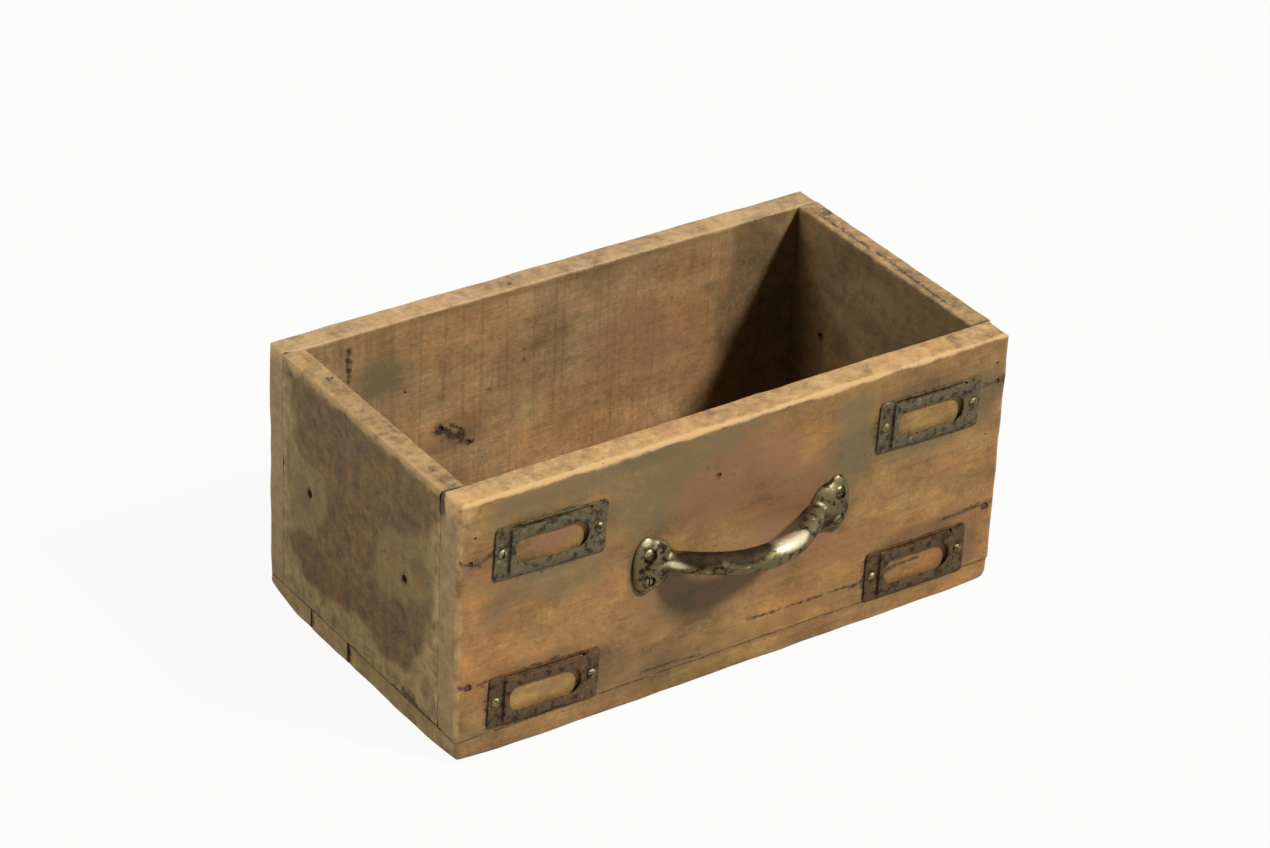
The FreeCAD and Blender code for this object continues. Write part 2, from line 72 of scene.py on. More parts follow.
# %% [markdown]
# ## The camera
#
# A long lens from above the left front corner shows the front, the left end and the inside together.
# It could be aimed with a constraint, but a turn built from its heading, dip and tilt stays exact, and
# other views can still move the camera freely.

# %% Camera
view_data = bpy.data.cameras.new("view")
view_data.sensor_width = 36
view_data.lens = 116.26
view = bpy.data.objects.new("view", view_data)
bpy.context.scene.collection.objects.link(view)
heading, dip, tilt = (math.radians(angle) for angle in (-35.480, 30.779, 2.661))
turn = (Matrix.Rotation(heading, 4, "Z") @ Matrix.Rotation(math.pi / 2 - dip, 4, "X")
        @ Matrix.Rotation(tilt, 4, "Z"))
view.matrix_world = Matrix.Translation((-1.10619, -1.54843, 1.23643)) @ turn
bpy.context.scene.camera = view
print("camera", round((view.location - (cad_low + cad_high) / 2).length, 2), "m from the drawer")

# %% [markdown]
# ## Colours and nodes
#
# Colours are written as sRGB hex, as a paint chart gives them, and Blender mixes light in linear values,
# so one function turns them. Another adds a node with its settings and its links in one line, which keeps
# a long material readable.

# %% Helpers for every material
def linear(hex_colour):
    """The linear colour that Blender wants, from sRGB hex."""
    channels = [int(hex_colour[i:i + 2], 16) / 255 for i in (1, 3, 5)]
    return tuple(c / 12.92 if c <= 0.04045 else ((c + 0.055) / 1.055) ** 2.4 for c in channels) + (1,)


def socket(sockets, key=None):
    """The socket with this number or name, or the first that the node shows."""
    if isinstance(key, int):
        return sockets[key]
    return next(s for s in sockets if s.enabled and (key is None or s.name == key))


def add(tree, kind, inputs, **settings):
    """Adds a node with its settings. Each input takes a value, a hex colour, or a node or socket to link."""
    made = tree.nodes.new("ShaderNode" + kind)
    for name, value in settings.items():
        setattr(made, name, value)
    for key, value in inputs.items():
        if isinstance(value, bpy.types.Node):
            value = socket(value.outputs)
        if isinstance(value, bpy.types.NodeSocket):
            tree.links.new(value, socket(made.inputs, key))
        else:
            socket(made.inputs, key).default_value = linear(value) if isinstance(value, str) else value
    return made


def new_finish(name):
    """A new material, with its node tree, its principled surface and its coordinates in millimetres."""
    finish = bpy.data.materials.new(name)
    finish.use_nodes = True
    tree = finish.node_tree
    where = add(tree, "TexCoord", {}).outputs["Object"]
    mm = add(tree, "Mapping", {"Vector": where, "Scale": (1 / MM,) * 3})
    return finish, tree, tree.nodes["Principled BSDF"], mm

# %% [markdown]
# ## Paper floor
#
# The drawer stands on white paper that runs out to a white background. The paper would need far more light
# than the wood to look white, so what the camera sees of it is mostly its own glow, and the rest stays a
# real surface that keeps the drawer's shadow.

# %% Floor
FLOOR_REACH = 4    # metres from the middle of the floor to its edges
GLOW_SHARE = 0.93  # the part of the paper that glows for the camera, the rest takes the shadow
paper, tree, surface, mm = new_finish("matt_white_paper")
surface.inputs["Base Color"].default_value = linear("#B9B3A8")
surface.inputs["Roughness"].default_value = 0.9
seen = add(tree, "LightPath", {})
glow = add(tree, "Emission", {"Color": "#FFFFFF", "Strength": 1.0})
share = add(tree, "MapRange", {"Value": seen.outputs["Is Camera Ray"], "To Max": GLOW_SHARE})
seen_paper = add(tree, "MixShader", {0: share, 1: surface, 2: glow})
tree.links.new(seen_paper.outputs[0], tree.nodes["Material Output"].inputs["Surface"])

sheet = bmesh.new()
bmesh.ops.create_grid(sheet, x_segments=1, y_segments=1, size=FLOOR_REACH)
floor_mesh = bpy.data.meshes.new("floor")
sheet.to_mesh(floor_mesh)
sheet.free()
floor_mesh.materials.append(paper)
floor = bpy.data.objects.new("floor", floor_mesh)
bpy.context.scene.collection.objects.link(floor)
floor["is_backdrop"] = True
print("floor", 2 * FLOOR_REACH, "m across")

# %% [markdown]
# ## Background and lamps
#
# The room is white to the camera and in reflections, and adds almost nothing else. One hard lamp stands
# high at the front right and throws the dark corner inside the box. A soft one lifts the shaded left end.
# Area lamps would fall off over the floor, so both are suns, whose angle sets how soft their shadows are.

# %% World and lamps
ROOM_LIGHT = 0.025  # what the white room itself adds to the lamps
bpy.context.scene.view_settings.view_transform = "Standard"
world = bpy.data.worlds.new("white_room")
world.use_nodes = True
bpy.context.scene.world = world
tree = world.node_tree
seen = add(tree, "LightPath", {})
mirrored = add(tree, "Math", {0: seen.outputs["Is Glossy Ray"], 1: seen.outputs["Is Transmission Ray"]},
               operation="MAXIMUM")
plain = add(tree, "Math", {0: seen.outputs["Is Camera Ray"], 1: mirrored}, operation="MAXIMUM")
level = add(tree, "MapRange", {"Value": plain, "To Min": ROOM_LIGHT, "To Max": 1.0})
tree.links.new(level.outputs[0], tree.nodes["Background"].inputs["Strength"])
tree.nodes["Background"].inputs["Color"].default_value = (1, 1, 1, 1)


def lamp(name, travel, strength, spread):
    """A far lamp whose light travels this way. A wide spread gives soft shadow edges."""
    data = bpy.data.lights.new(name, "SUN")
    data.energy = strength
    data.angle = math.radians(spread)
    made = bpy.data.objects.new(name, data)
    made.rotation_mode = "QUATERNION"
    made.rotation_quaternion = Vector(travel).to_track_quat("-Z", "Y")
    bpy.context.scene.collection.objects.link(made)
    print(name, strength, "W/m2,", spread, "degrees wide")


lamp("key_lamp", (-0.43, 0.55, -0.71), 4.4, 8)
lamp("fill_lamp", (0.84, -0.24, -0.48), 1.85, 26)

# %% [markdown]
# ## Old pine
#
# The boards are old softwood, planed by hand and waxed brown by years of hands and paint water. Pine shows
# soft streaks of early and late wood a few millimetres apart, fine fibres and small dark flecks. A picture
# of wood could be wrapped on, but it would repeat and blur. Noise that is stretched along the grain makes
# the streaks at their real size, and slower noise makes the clouds of wax and dirt.

# %% Wood patterns
STREAK = 6        # mm across a streak of early or late wood
FIBRE = 1.0       # mm across a bundle of fibres, coarser than real ones so that it shows
FLECK = 1.4       # mm across a resin fleck
PATCH = 26        # mm across a cloud of darker or paler wax
DRIFT = 70        # mm across a slow change of colour along a board
CRUMB = 3.0       # mm across the torn edge of a worn or dirty spot
SMUDGE = 8        # mm across a smudge left by hands
SCUFF = 1.6       # mm across a pale scuff
SAW_MARK = 2.6    # mm from one saw mark to the next
SAW_BAND = 9      # mm across a band of lighter or deeper saw marks


def speckle(tree, vector, size, detail, rough=0.5):
    """Noise whose specks are this many millimetres across."""
    return add(tree, "TexNoise", {"Vector": vector, "Scale": 1 / size, "Detail": detail, "Roughness": rough})


def pine_patterns(tree, mm, along):
    """The noise of a board whose grain runs along this axis, by name."""
    def stretched(by):
        return add(tree, "Mapping", {"Vector": mm, "Scale": [by if a == along else 1 for a in "xyz"]})

    slanted = add(tree, "Mapping", {"Vector": mm, "Rotation": (0.6, 0.6, 0.5)})
    scratched = add(tree, "Mapping", {"Vector": slanted, "Scale": (1, 0.12, 1)})
    found = {
        "streaks": speckle(tree, stretched(0.035), STREAK, 5.0),
        "fibres": speckle(tree, stretched(0.035), FIBRE, 3.0, 0.7),
        "flecks": speckle(tree, stretched(0.45), FLECK, 2.0),
        "clouds": speckle(tree, stretched(0.65), PATCH, 8.0, 0.66),
        "drift": speckle(tree, stretched(0.6), DRIFT, 4.0, 0.6),
        "smudges": speckle(tree, mm, SMUDGE, 7.0, 0.7),
        "crumbs": speckle(tree, mm, CRUMB, 6.0, 0.7),
        "scuffs": speckle(tree, scratched, SCUFF, 3.0),
    }
    found["ragged"] = add(tree, "Mix", {"Factor": 0.5, "A": found["crumbs"], "B": found["smudges"]},
                          data_type="FLOAT")
    return found

# %% [markdown]
# ### Waxed wood
#
# Wax darkens old wood unevenly: each cloud takes one of four tones, and the streaks, fibres and smudges
# darken or lighten it further. The back board was never planed inside, so upright saw marks cross it.
# Each layer multiplies the one below, which keeps the brown of the wax in every shade.

# %% Bare wood
def shades(tree, share, *stops):
    """A run of colours, given as (place, hex colour) stops."""
    made = add(tree, "ValToRGB", {"Fac": share})
    for _ in stops[2:]:
        made.color_ramp.elements.new(0.5)
    for element, (place, colour) in zip(made.color_ramp.elements, stops):
        element.position, element.color = place, linear(colour)
    return made


def between(tree, pattern, low, high, start, end):
    """Turns a pattern's values from low to high into a factor from start to end."""
    return add(tree, "MapRange", {"Value": pattern, "From Min": low, "From Max": high, "To Min": start,
                                  "To Max": end})


def times(tree, colour, *factors):
    """Multiplies a colour by every factor in turn."""
    for factor in factors:
        colour = add(tree, "Mix", {"Factor": 1.0, "A": colour, "B": factor}, data_type="RGBA",
                     blend_type="MULTIPLY")
    return colour


def bare_pine(tree, mm, found, tones, saw, mottle):
    """The wood before its stains, and the height of its fibres and saw marks. Saw is the axis that saw
    marks repeat along, and mottle says how strong the smudges are."""
    dark, late, early, pale = tones
    wood = shades(tree, found["clouds"], (0.34, dark), (0.44, late), (0.54, early), (0.64, pale))
    lines = shades(tree, found["streaks"], (0.34, late), (0.47, early), (0.60, late), (0.72, dark))
    wood = add(tree, "Mix", {"Factor": 0.3, "A": wood, "B": lines}, data_type="RGBA")
    tint = shades(tree, found["drift"], (0.38, "#E2E6D2"), (0.47, "#FFFFFF"), (0.54, "#FFF8F0"),
                  (0.64, "#FFECE2"))
    wood = times(tree, wood, tint, between(tree, found["drift"], 0.35, 0.65, 0.88, 1.12),
                 between(tree, found["smudges"], 0.36, 0.64, 1 - 0.26 * mottle, 1 + 0.22 * mottle),
                 between(tree, found["crumbs"], 0.36, 0.64, 0.82, 1.15),
                 between(tree, found["fibres"], 0.3, 0.7, 0.86, 1.10))
    if not saw:
        return wood, found["fibres"]
    sawn = add(tree, "Mapping", {"Vector": mm, "Scale": [1 if a == saw else 0.02 for a in "xyz"]})
    kerf = between(tree, speckle(tree, sawn, SAW_MARK, 2.0), 0.37, 0.43, 0.86, 1.0)
    wood = times(tree, wood, between(tree, speckle(tree, sawn, SAW_BAND, 3.0), 0.35, 0.65, 0.9, 1.08), kerf)
    return wood, add(tree, "Math", {0: found["fibres"], 1: kerf}, operation="ADD")

# %% [markdown]
# ### Stains and wear
#
# Dust, soot, a red-brown and an olive bloom, bare worn wood and black grime each lie where a board's
# points say, and some soot and grime marks are painted shade, under the handle, beside the label holders
# and in the shaded corner of the box. A smooth fade alone would look sprayed on, so noise tears the edge of
# each, coarser for a stain than for grime. Worn wood comes late, because hands rub through everything
# below it.

# %% Stains over the wood
# GRIME_AND_SHADE is black grime, and also painted shade where the marks put it beside the label holders.
RESIN, GRIME_AND_SHADE = "#4A3320", "#2A1C10"


def stain(tree, under, name, colour, tear, most, torn_by=4.0):
    """Lays a colour over the wood where the board's number of this name says, with a torn edge."""
    amount = add(tree, "Attribute", {}, attribute_name=name).outputs["Fac"]
    torn = add(tree, "Math", {0: tear, 1: torn_by, 2: -torn_by / 2}, operation="MULTIPLY_ADD")
    edge = add(tree, "Math", {0: amount, 1: torn}, operation="ADD")
    gate = add(tree, "MapRange", {"Value": edge, "From Min": 0.1, "From Max": 0.9, "To Max": most})
    alive = add(tree, "MapRange", {"Value": amount, "From Max": 0.3})
    share = add(tree, "Math", {0: gate, 1: alive}, operation="MULTIPLY")
    return add(tree, "Mix", {"Factor": share, "A": under, "B": colour}, data_type="RGBA"), share


def stained(tree, wood, found, stains, scuffed_most, mottle):
    """The wood under all its stains, and how worn it is."""
    ragged, smudges = found["ragged"], found["smudges"]
    blotches = between(tree, smudges, 0.36, 0.64, 1 - 0.2 * mottle, 1 + 0.2 * mottle)
    dust = times(tree, stains["dusty"], between(tree, ragged, 0.38, 0.62, 0.82, 1.16), blotches)
    # The dark stain is soot and wax, and at some marks painted shade.
    soot_and_shade = times(tree, stains["dark"], between(tree, ragged, 0.38, 0.62, 0.66, 1.30),
                 between(tree, found["clouds"], 0.38, 0.60, 0.78, 1.22), blotches)
    wood, _ = stain(tree, wood, "dusty", dust, ragged, 0.85)
    wood, _ = stain(tree, wood, "dark", soot_and_shade, ragged, 0.88)
    scuffs = between(tree, found["scuffs"], 0.57, 0.66, 0, scuffed_most)
    wood = add(tree, "Mix", {"Factor": scuffs, "A": wood, "B": stains["dusty"]}, data_type="RGBA")
    wood, _ = stain(tree, wood, "warm", stains["warm"], found["clouds"], 0.7)
    wood, _ = stain(tree, wood, "olive", stains["olive"], ragged, 0.88)
    wood, worn = stain(tree, wood, "worn", stains["worn"], smudges, 0.9, 2.6)
    resin = between(tree, found["flecks"], 0.68, 0.76, 0, 0.7)
    wood = add(tree, "Mix", {"Factor": resin, "A": wood, "B": RESIN}, data_type="RGBA")
    wood, _ = stain(tree, wood, "grime", GRIME_AND_SHADE, found["crumbs"], 0.93)
    return wood, worn

# %% [markdown]
# ### The four pines
#
# One recipe makes every board, and four sets of tones tell them apart: the front is waxed golden brown,
# the back is sawn and drier, the sides are grimy from sliding in a chest, and the planks are bare. Wax
# gives a satin gloss, and where it is worn away the wood is chalky. Three bumps add what is too small to
# model: lumps under the hand, dents, and the ridges of the fibres.

# %% Wood finishes
CHALKY = 0.82  # roughness where the wax is gone


def old_pine(name, along, tones, stains, rough, saw=None, scuffed_most=0.35, mottle=1.0):
    """Old pine, planed and waxed: satin brown where wax stays, chalky tan where edges wore through it.
    Tones run from its darkest wax to its palest wood."""
    finish, tree, surface, mm = new_finish(name)
    found = pine_patterns(tree, mm, along)
    wood, height = bare_pine(tree, mm, found, tones, saw, mottle)
    wood, worn = stained(tree, wood, found, stains, scuffed_most, mottle)
    tree.links.new(socket(wood.outputs), surface.inputs["Base Color"])
    dry = add(tree, "MapRange", {"Value": worn, "To Min": rough, "To Max": CHALKY})
    gloss = add(tree, "Math", {0: found["clouds"], 1: 0.35, 2: -0.17}, operation="MULTIPLY_ADD")
    gloss = add(tree, "Math", {0: dry, 1: gloss}, operation="ADD")
    tree.links.new(gloss.outputs[0], surface.inputs["Roughness"])
    lumps = add(tree, "Bump", {"Height": found["smudges"], "Distance": 0.5 * MM, "Strength": 0.35})
    dents = add(tree, "Bump", {"Height": found["crumbs"], "Distance": 0.5 * MM, "Strength": 0.4,
                               "Normal": lumps})
    ridges = add(tree, "Bump", {"Height": height, "Distance": 0.25 * MM, "Strength": 0.5, "Normal": dents})
    tree.links.new(ridges.outputs[0], surface.inputs["Normal"])
    print(name, "with", len(tree.nodes), "nodes")
    return finish


WAX = {"dusty": "#88734D", "dark": "#5F482A", "warm": "#7E573B", "olive": "#685A3A", "worn": "#B8976C"}
FRONT_PINE = old_pine("waxed_pine_front", "x", ("#624928", "#7F5F36", "#957140", "#A98449"),
                      WAX | {"worn": "#C49E69"}, 0.5, mottle=0.6)
BACK_PINE = old_pine("sawn_pine_back", "x", ("#82643D", "#8F7048", "#9F7F54", "#AC8C60"), WAX, 0.7, "x",
                     mottle=0.45)
SIDE_PINE = old_pine("grimy_pine_sides", "y", ("#5E482B", "#6B5434", "#7D6541", "#8D754F"),
                     WAX | {"dark": "#553D1B", "dusty": "#857048", "worn": "#AE8C5C"}, 0.66,
                     scuffed_most=0.2, mottle=1.5)
PLANK_PINE = old_pine("dry_pine_planks", "x", ("#5A4027", "#7C5A35", "#8F6B40", "#9F7A4C"), WAX, 0.7)

# %% [markdown]
# ## Boards
#
# A board starts as a cube that fills the box of its CAD solid. Cuts every few millimetres, closer together
# near its edges, give it points that can move. A subdivided plane or a sculpted block would do as well,
# but straight cuts keep the points where the wear needs them.

# %% Cut up a board
EDGE_CUTS = (0.4, 0.9, 1.6, 2.5, 3.8, 5.5)  # mm from an edge, where the round needs more points
STEP = 3.2                                  # mm between the other cuts


def box_mesh(low, high):
    """A bmesh cube that fills the box between two corners."""
    made = bmesh.new()
    bmesh.ops.create_cube(made, size=1)
    bmesh.ops.scale(made, vec=high - low, verts=made.verts)
    bmesh.ops.translate(made, vec=(low + high) / 2, verts=made.verts)
    return made


def cut_across(made, spot, normal, **more):
    """Cuts every face that a plane through this spot crosses."""
    return bmesh.ops.bisect_plane(made, geom=made.verts[:] + made.edges[:] + made.faces[:],
                                  plane_co=spot, plane_no=normal, **more)


def slice_up(made, low, high):
    """Cuts across every axis, close together near the edges."""
    for axis in range(3):
        length = high[axis] - low[axis]
        near = [cut for cut in EDGE_CUTS if cut < length / 2 - 0.3]
        count = max(1, round((length - 2 * near[-1]) / STEP))
        inner = [near[-1] + (length - 2 * near[-1]) * i / count for i in range(count + 1)]
        normal = Vector([float(axis == i) for i in range(3)])
        for cut in near[:-1] + inner + [length - cut for cut in near[:-1]]:
            cut_across(made, low + normal * cut, normal, dist=1e-5)

# %% [markdown]
# ### Wear
#
# Hands and years round each edge by its own radius, more at a corner that was knocked, and a low swell and
# small dents take the flatness off the faces. A bevel would give every edge the same round, so each point
# is moved by how deep it lies inside the board. All of it moves inwards, so no board outgrows its solid.

# %% Wear a board
CORNER_FADE = 34              # mm along an edge in which a rounder corner fades out
WAVE, WAVE_SIZE = 0.12, 35    # mm deep and mm apart: the low swell of a hand-planed face
DENT, DENT_SIZE = 1.6, 13     # the same for dents, which only the peaks of the noise above this make:
DENT_START = 0.42


def swell(place, size):
    """Smooth noise from -1 to 1, its bumps this many millimetres apart."""
    return noise.noise(place / size)


def push(place, gap, size, by=1):
    """Three different swells at one place, which push it in any direction."""
    return Vector([by * swell(place + Vector((gap * k, 0, 0)), size) for k in (1, 2, 3)])


def depths(place, low, high):
    """How far a point lies inside each face of its board."""
    return {"-x": place.x - low.x, "+x": high.x - place.x, "-y": place.y - low.y,
            "+y": high.y - place.y, "-z": place.z - low.z, "+z": high.z - place.z}


def edge_radius(edge, inside, rounds, uneven):
    """The round of an edge, such as -x-z. A key with a third face is the round at that end of the edge."""
    radius = rounds.get(edge, rounds["all"]) * uneven
    for end in inside:
        if edge + end in rounds:
            near = max(0, 1 - inside[end] / CORNER_FADE) ** 1.5
            radius += (rounds[edge + end] - radius) * near
    return radius


def worn_place(place, low, high, rounds):
    """Where wear leaves a point of a board: on the round of a near edge, or a little below the face."""
    inside = depths(place, low, high)
    for side in inside:
        if inside[side] < 0.01:
            dent = max(0, swell(place, DENT_SIZE) - DENT_START) * DENT
            inside[side] += WAVE * (1 + swell(place, WAVE_SIZE)) + dent
    sides = list(inside)
    uneven = 1 + 0.4 * swell(place + Vector((31, 7, 3)), 16)
    for i, a in enumerate(sides):
        for b in sides[i + 1:]:
            if a[1] == b[1]:
                continue
            radius = edge_radius(a + b, inside, rounds, uneven)
            reach = Vector((max(0, radius - inside[a]), max(0, radius - inside[b])))
            if reach.x > 0 and reach.y > 0 and reach.length > radius:
                inside[a] = radius - reach.x * radius / reach.length
                inside[b] = radius - reach.y * radius / reach.length
    return Vector([low[i] + inside["-" + axis] if inside["-" + axis] < inside["+" + axis]
                   else high[i] - inside["+" + axis] for i, axis in enumerate("xyz")])

# %% [markdown]
# ### From bmesh to finished piece
#
# A bmesh in millimetres is easy to shape, so it is only scaled to metres when it becomes an object, and its
# own place stays in its mesh. Holes could be left to bump, but they would vanish at the outline, so real
# tools cut them with an exact boolean and are then thrown away.

# %% Finish and carve a piece
def finished(name, made, finish, *nodes):
    """Turns a bmesh in millimetres into the piece that stands for these CAD nodes."""
    bmesh.ops.recalc_face_normals(made, faces=made.faces)
    bmesh.ops.scale(made, vec=(MM,) * 3, verts=made.verts)
    mesh = bpy.data.meshes.new(name)
    made.to_mesh(mesh)
    made.free()
    mesh.materials.append(finish)
    piece = bpy.data.objects.new(name, mesh)
    bpy.context.scene.collection.objects.link(piece)
    if nodes:
        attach(piece, "root")
        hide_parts(*nodes)
    return piece


def as_tool(made):
    """A throwaway piece for a boolean, or for joining."""
    return finished("tool", made, FRONT_PINE)


def applied(piece):
    """Makes the result of the piece's modifiers its mesh."""
    done = piece.evaluated_get(bpy.context.evaluated_depsgraph_get())
    mesh = bpy.data.meshes.new_from_object(done)
    piece.modifiers.clear()
    old, piece.data = piece.data, mesh
    bpy.data.meshes.remove(old)


def carve(piece, tools, operation="DIFFERENCE"):
    """Cuts every tool out of the piece, or joins it on, and throws the tools away."""
    for tool in tools:
        change = piece.modifiers.new("change", "BOOLEAN")
        change.operation, change.solver, change.object = operation, "EXACT", tool
    applied(piece)
    for tool in tools:
        bpy.data.meshes.remove(tool.data)


def smooth(piece, angle):
    """Shades the piece smooth, but keeps edges crisp that turn by more than this many degrees."""
    for polygon in piece.data.polygons:
        polygon.use_smooth = True
    piece.data.set_sharp_from_angle(angle=math.radians(angle))

# %% [markdown]
# ## Holes, splits and chips
#
# Nails and screws sit in real holes, the two screw holes of an old drawer runner go through each side, the
# wood has split along its grain near the nails, and a chip has broken out of one corner. A hole is cut with
# a lathed pin, a split with a thin wandering wedge, and a chip with an uneven ball.

# %% Tools that cut the wood
OUT = 1.5          # mm by which a tool stands out of the wood, so that it cuts cleanly
SPLIT_CUTS = 3     # mm between the cuts that let a split wander


def lathe(profile, place, toward, steps=20):
    """Spins a profile of (distance along, radius) points round an axis that points this way from a place."""
    made = bmesh.new()
    points = [made.verts.new((radius, 0, along)) for along, radius in profile]
    edges = [made.edges.new(pair) for pair in zip(points, points[1:])]
    bmesh.ops.spin(made, geom=points + edges, cent=(0, 0, 0), axis=(0, 0, 1), dvec=(0, 0, 0),
                   angle=2 * math.pi, steps=steps, use_merge=True)
    bmesh.ops.remove_doubles(made, verts=made.verts, dist=1e-4)
    bmesh.ops.recalc_face_normals(made, faces=made.faces)
    aim = Vector(toward).to_track_quat("Z", "Y").to_matrix().to_4x4()
    bmesh.ops.transform(made, matrix=Matrix.Translation(place) @ aim, verts=made.verts)
    return made


def split_tool(start, end, into, width, depth, wander=1.5):
    """A thin wedge along a split: widest at its middle, running out at both ends, wandering a little."""
    start, end, into = Vector(start), Vector(end), Vector(into).normalized()
    along = (end - start).normalized()
    across = along.cross(into)
    length = (end - start).length
    count = round(length / SPLIT_CUTS)
    made = box_mesh(Vector((0, -0.5, -1)), Vector((length, 0.5, 1)))
    for i in range(1, count):
        cut_across(made, (length * i / count, 0, 0), (1, 0, 0))
    for v in made.verts:
        far, below = v.co.x, v.co.z > 0
        gape = max(0.08, math.sin(math.pi * (far / length))) ** 0.6
        ragged = 1 + 0.5 * swell(Vector((far, start.z, start.x)), 5)
        sway = wander * (swell(Vector((far, start.x, 0)), 12) + 0.4 * swell(Vector((far, 9, start.z)), 4))
        side = v.co.y * width * gape * ragged * (0.2 if below else 1)
        v.co = start + along * far + across * (side + sway) + into * (depth * gape if below else -OUT)
    return as_tool(made)


def pit_tool(place, toward, radius, depth, shank=0, length=0, lumpy=0.12):
    """A round pit with a ragged rim, and a hole for the shank below it."""
    shank_hole, end = max(shank, 0.01), max(length, depth + 0.3)
    made = lathe([(-OUT, 0), (-OUT, radius), (depth, radius * 0.94), (depth, shank_hole),
                  (end, shank_hole), (end, 0)], place, toward, 14)
    for v in made.verts:
        if (v.co - Vector(place)).length > shank + 0.5:
            v.co += push(v.co, 5, 2.2) * radius * lumpy
    return as_tool(made)


def chip_tool(place, radii):
    """An uneven ball that breaks a chip out of a corner."""
    made = bmesh.new()
    bmesh.ops.create_icosphere(made, subdivisions=3, radius=1)
    bmesh.ops.scale(made, vec=radii, verts=made.verts)
    bmesh.ops.translate(made, vec=place, verts=made.verts)
    for v in made.verts:
        v.co += push(v.co, 8, 1.6, 0.35)
    return as_tool(made)

# %% [markdown]
# ## Marks
#
# Dirt, wear and stains are stored as numbers from 0 to 1 on the points: how worn an edge is, how grimy a
# corner, how red or olive a patch. A few of the dark and grime numbers are painted shade instead of dirt.
# They could be painted by hand, but a list of places and sizes says plainly what is where. Edges fade with
# distance, spots are soft balls, and larger patches follow an outline that was drawn on a face.

# %% Measure to a line and an outline
def near_segment(place, start, end):
    """Distance from a point to the line between two others."""
    run = end - start
    share = max(0, min(1, (place - start).dot(run) / run.length_squared))
    return (place - start - run * share).length


def inside_by(spot, outline):
    """How deep a spot lies inside an outline, below zero outside it."""
    x, y = spot
    inside, nearest = False, 1e9
    for (ax, ay), (bx, by) in zip(outline, outline[1:] + outline[:1]):
        share = ((x - ax) * (bx - ax) + (y - ay) * (by - ay)) / ((bx - ax) ** 2 + (by - ay) ** 2)
        share = max(0, min(1, share))
        nearest = min(nearest, math.hypot(ax + (bx - ax) * share - x, ay + (by - ay) * share - y))
        if (ay > y) != (by > y) and x < ax + (y - ay) * (bx - ax) / (by - ay):
            inside = not inside
    return nearest if inside else -nearest

# %% [markdown]
# ### Numbers on the points
#
# Where several marks meet, the strongest counts, so the order of a list doesn't matter. Each mark's edge
# is bent by a swell, or straight bands and round spots would show.

# %% Mark a board
STAINS = ("worn", "grime", "dusty", "dark", "warm", "olive")


def edge_amount(inside, place, edge, width, strength):
    """How strong a mark along an edge, or over a face, is at a point."""
    away = math.hypot(inside[edge[:2]], inside[edge[2:]]) if len(edge) == 4 else inside[edge]
    return strength * max(0, 1 - away / (width * (1 + 0.6 * swell(place, 18))))


def spot_amount(place, centre, radii, strength):
    """How strong a soft spot is at a point."""
    away = math.sqrt(sum(((p - c) / r) ** 2 for p, c, r in zip(place, centre, radii)))
    away *= 1 + 0.35 * swell(place, 9)
    return strength * max(0, min(1, 1.6 * (1 - away)))


def area_amount(place, face, outline, feather, strength):
    """How strong a patch with an outline is at a point of its face."""
    spot = (place.y, place.z) if face[1] == "x" else (place.x, place.z)
    amount = 0.5 + (inside_by(spot, outline) + 5 * swell(place, 11) + 2 * swell(place, 4)) / feather
    return strength * max(0, min(1, amount))


def mark(piece, low, high, edges, spots, splits, areas):
    """Writes every stain's number on every point of a board."""
    points = [v.co / MM for v in piece.data.vertices]
    numbers = {name: [0.0] * len(points) for name in STAINS}
    for i, place in enumerate(points):
        inside = depths(place, low, high)
        found = [(name, edge_amount(inside, place, *edge)) for name, *edge in edges]
        found += [(name, spot_amount(place, *spot)) for name, *spot in spots]
        found += [(name, area_amount(place, *area)) for name, *area in areas if inside[area[0]] < 1.5]
        found += [("grime", 1 - near_segment(place, start, end) / reach) for start, end, reach in splits]
        for name, amount in found:
            numbers[name][i] = max(numbers[name][i], amount)
    for name in STAINS:
        layer = piece.data.attributes.new(name, "FLOAT", "POINT")
        layer.data.foreach_set("value", numbers[name])

# %% [markdown]
# ### One board from its lists
#
# Every board goes through the same steps, as on a bench: cut to size, worn, holed, then dirtied. The
# numbers come last, because cutting the holes makes new points, and these need their dirt as well.

# %% Make a board
RIM = 157  # mm from the floor to the rim of the box


def node_box(node):
    """The corners of a CAD node's box, in millimetres."""
    return tuple(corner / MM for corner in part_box(node))


def make_board(node, finish, rounds, edges, spots=(), splits=(), pits=(), chips=(), areas=()):
    """A worn board in place of its CAD node. Splits are (start, end, into, width, depth, wander)."""
    low, high = node_box(node)
    made = box_mesh(low, high)
    slice_up(made, low, high)
    for v in made.verts:
        v.co = worn_place(v.co.copy(), low, high, rounds)
    piece = finished("worn_" + node, made, finish, node)
    tools = [split_tool(*split) for split in splits] + [pit_tool(*pit) for pit in pits] + list(chips)
    if tools:
        carve(piece, tools)
    dirty = [(Vector(start), Vector(end), 0.8 + width) for start, end, _, width, *_ in splits]
    mark(piece, low, high, edges, spots, dirty, areas)
    smooth(piece, 40)
    print(piece.name, len(piece.data.polygons), "faces")


def spots_on(face, thick, *rows):
    """Soft spots on a front or back face, from rows of (stain, x, z, half width, half height, strength)."""
    return [(name, (x, face, z), (wide, thick, tall), strength) for name, x, z, wide, tall, strength in rows]


def rim_spots(*rows):
    """Soft spots on the rim, from rows of (stain, x, y, half length, half width, strength)."""
    return [(name, (x, y, RIM), (long, wide, 3), strength) for name, x, y, long, wide, strength in rows]

# %% [markdown]
# ### Where the nails go
#
# Each CAD nail node holds several nails. Their places are read from the node's own points: a nail's head
# and shank are one loose part, so the box of each loose part is the box of a nail. A list of places would
# be shorter, but it would go wrong as soon as a nail was moved in the CAD.

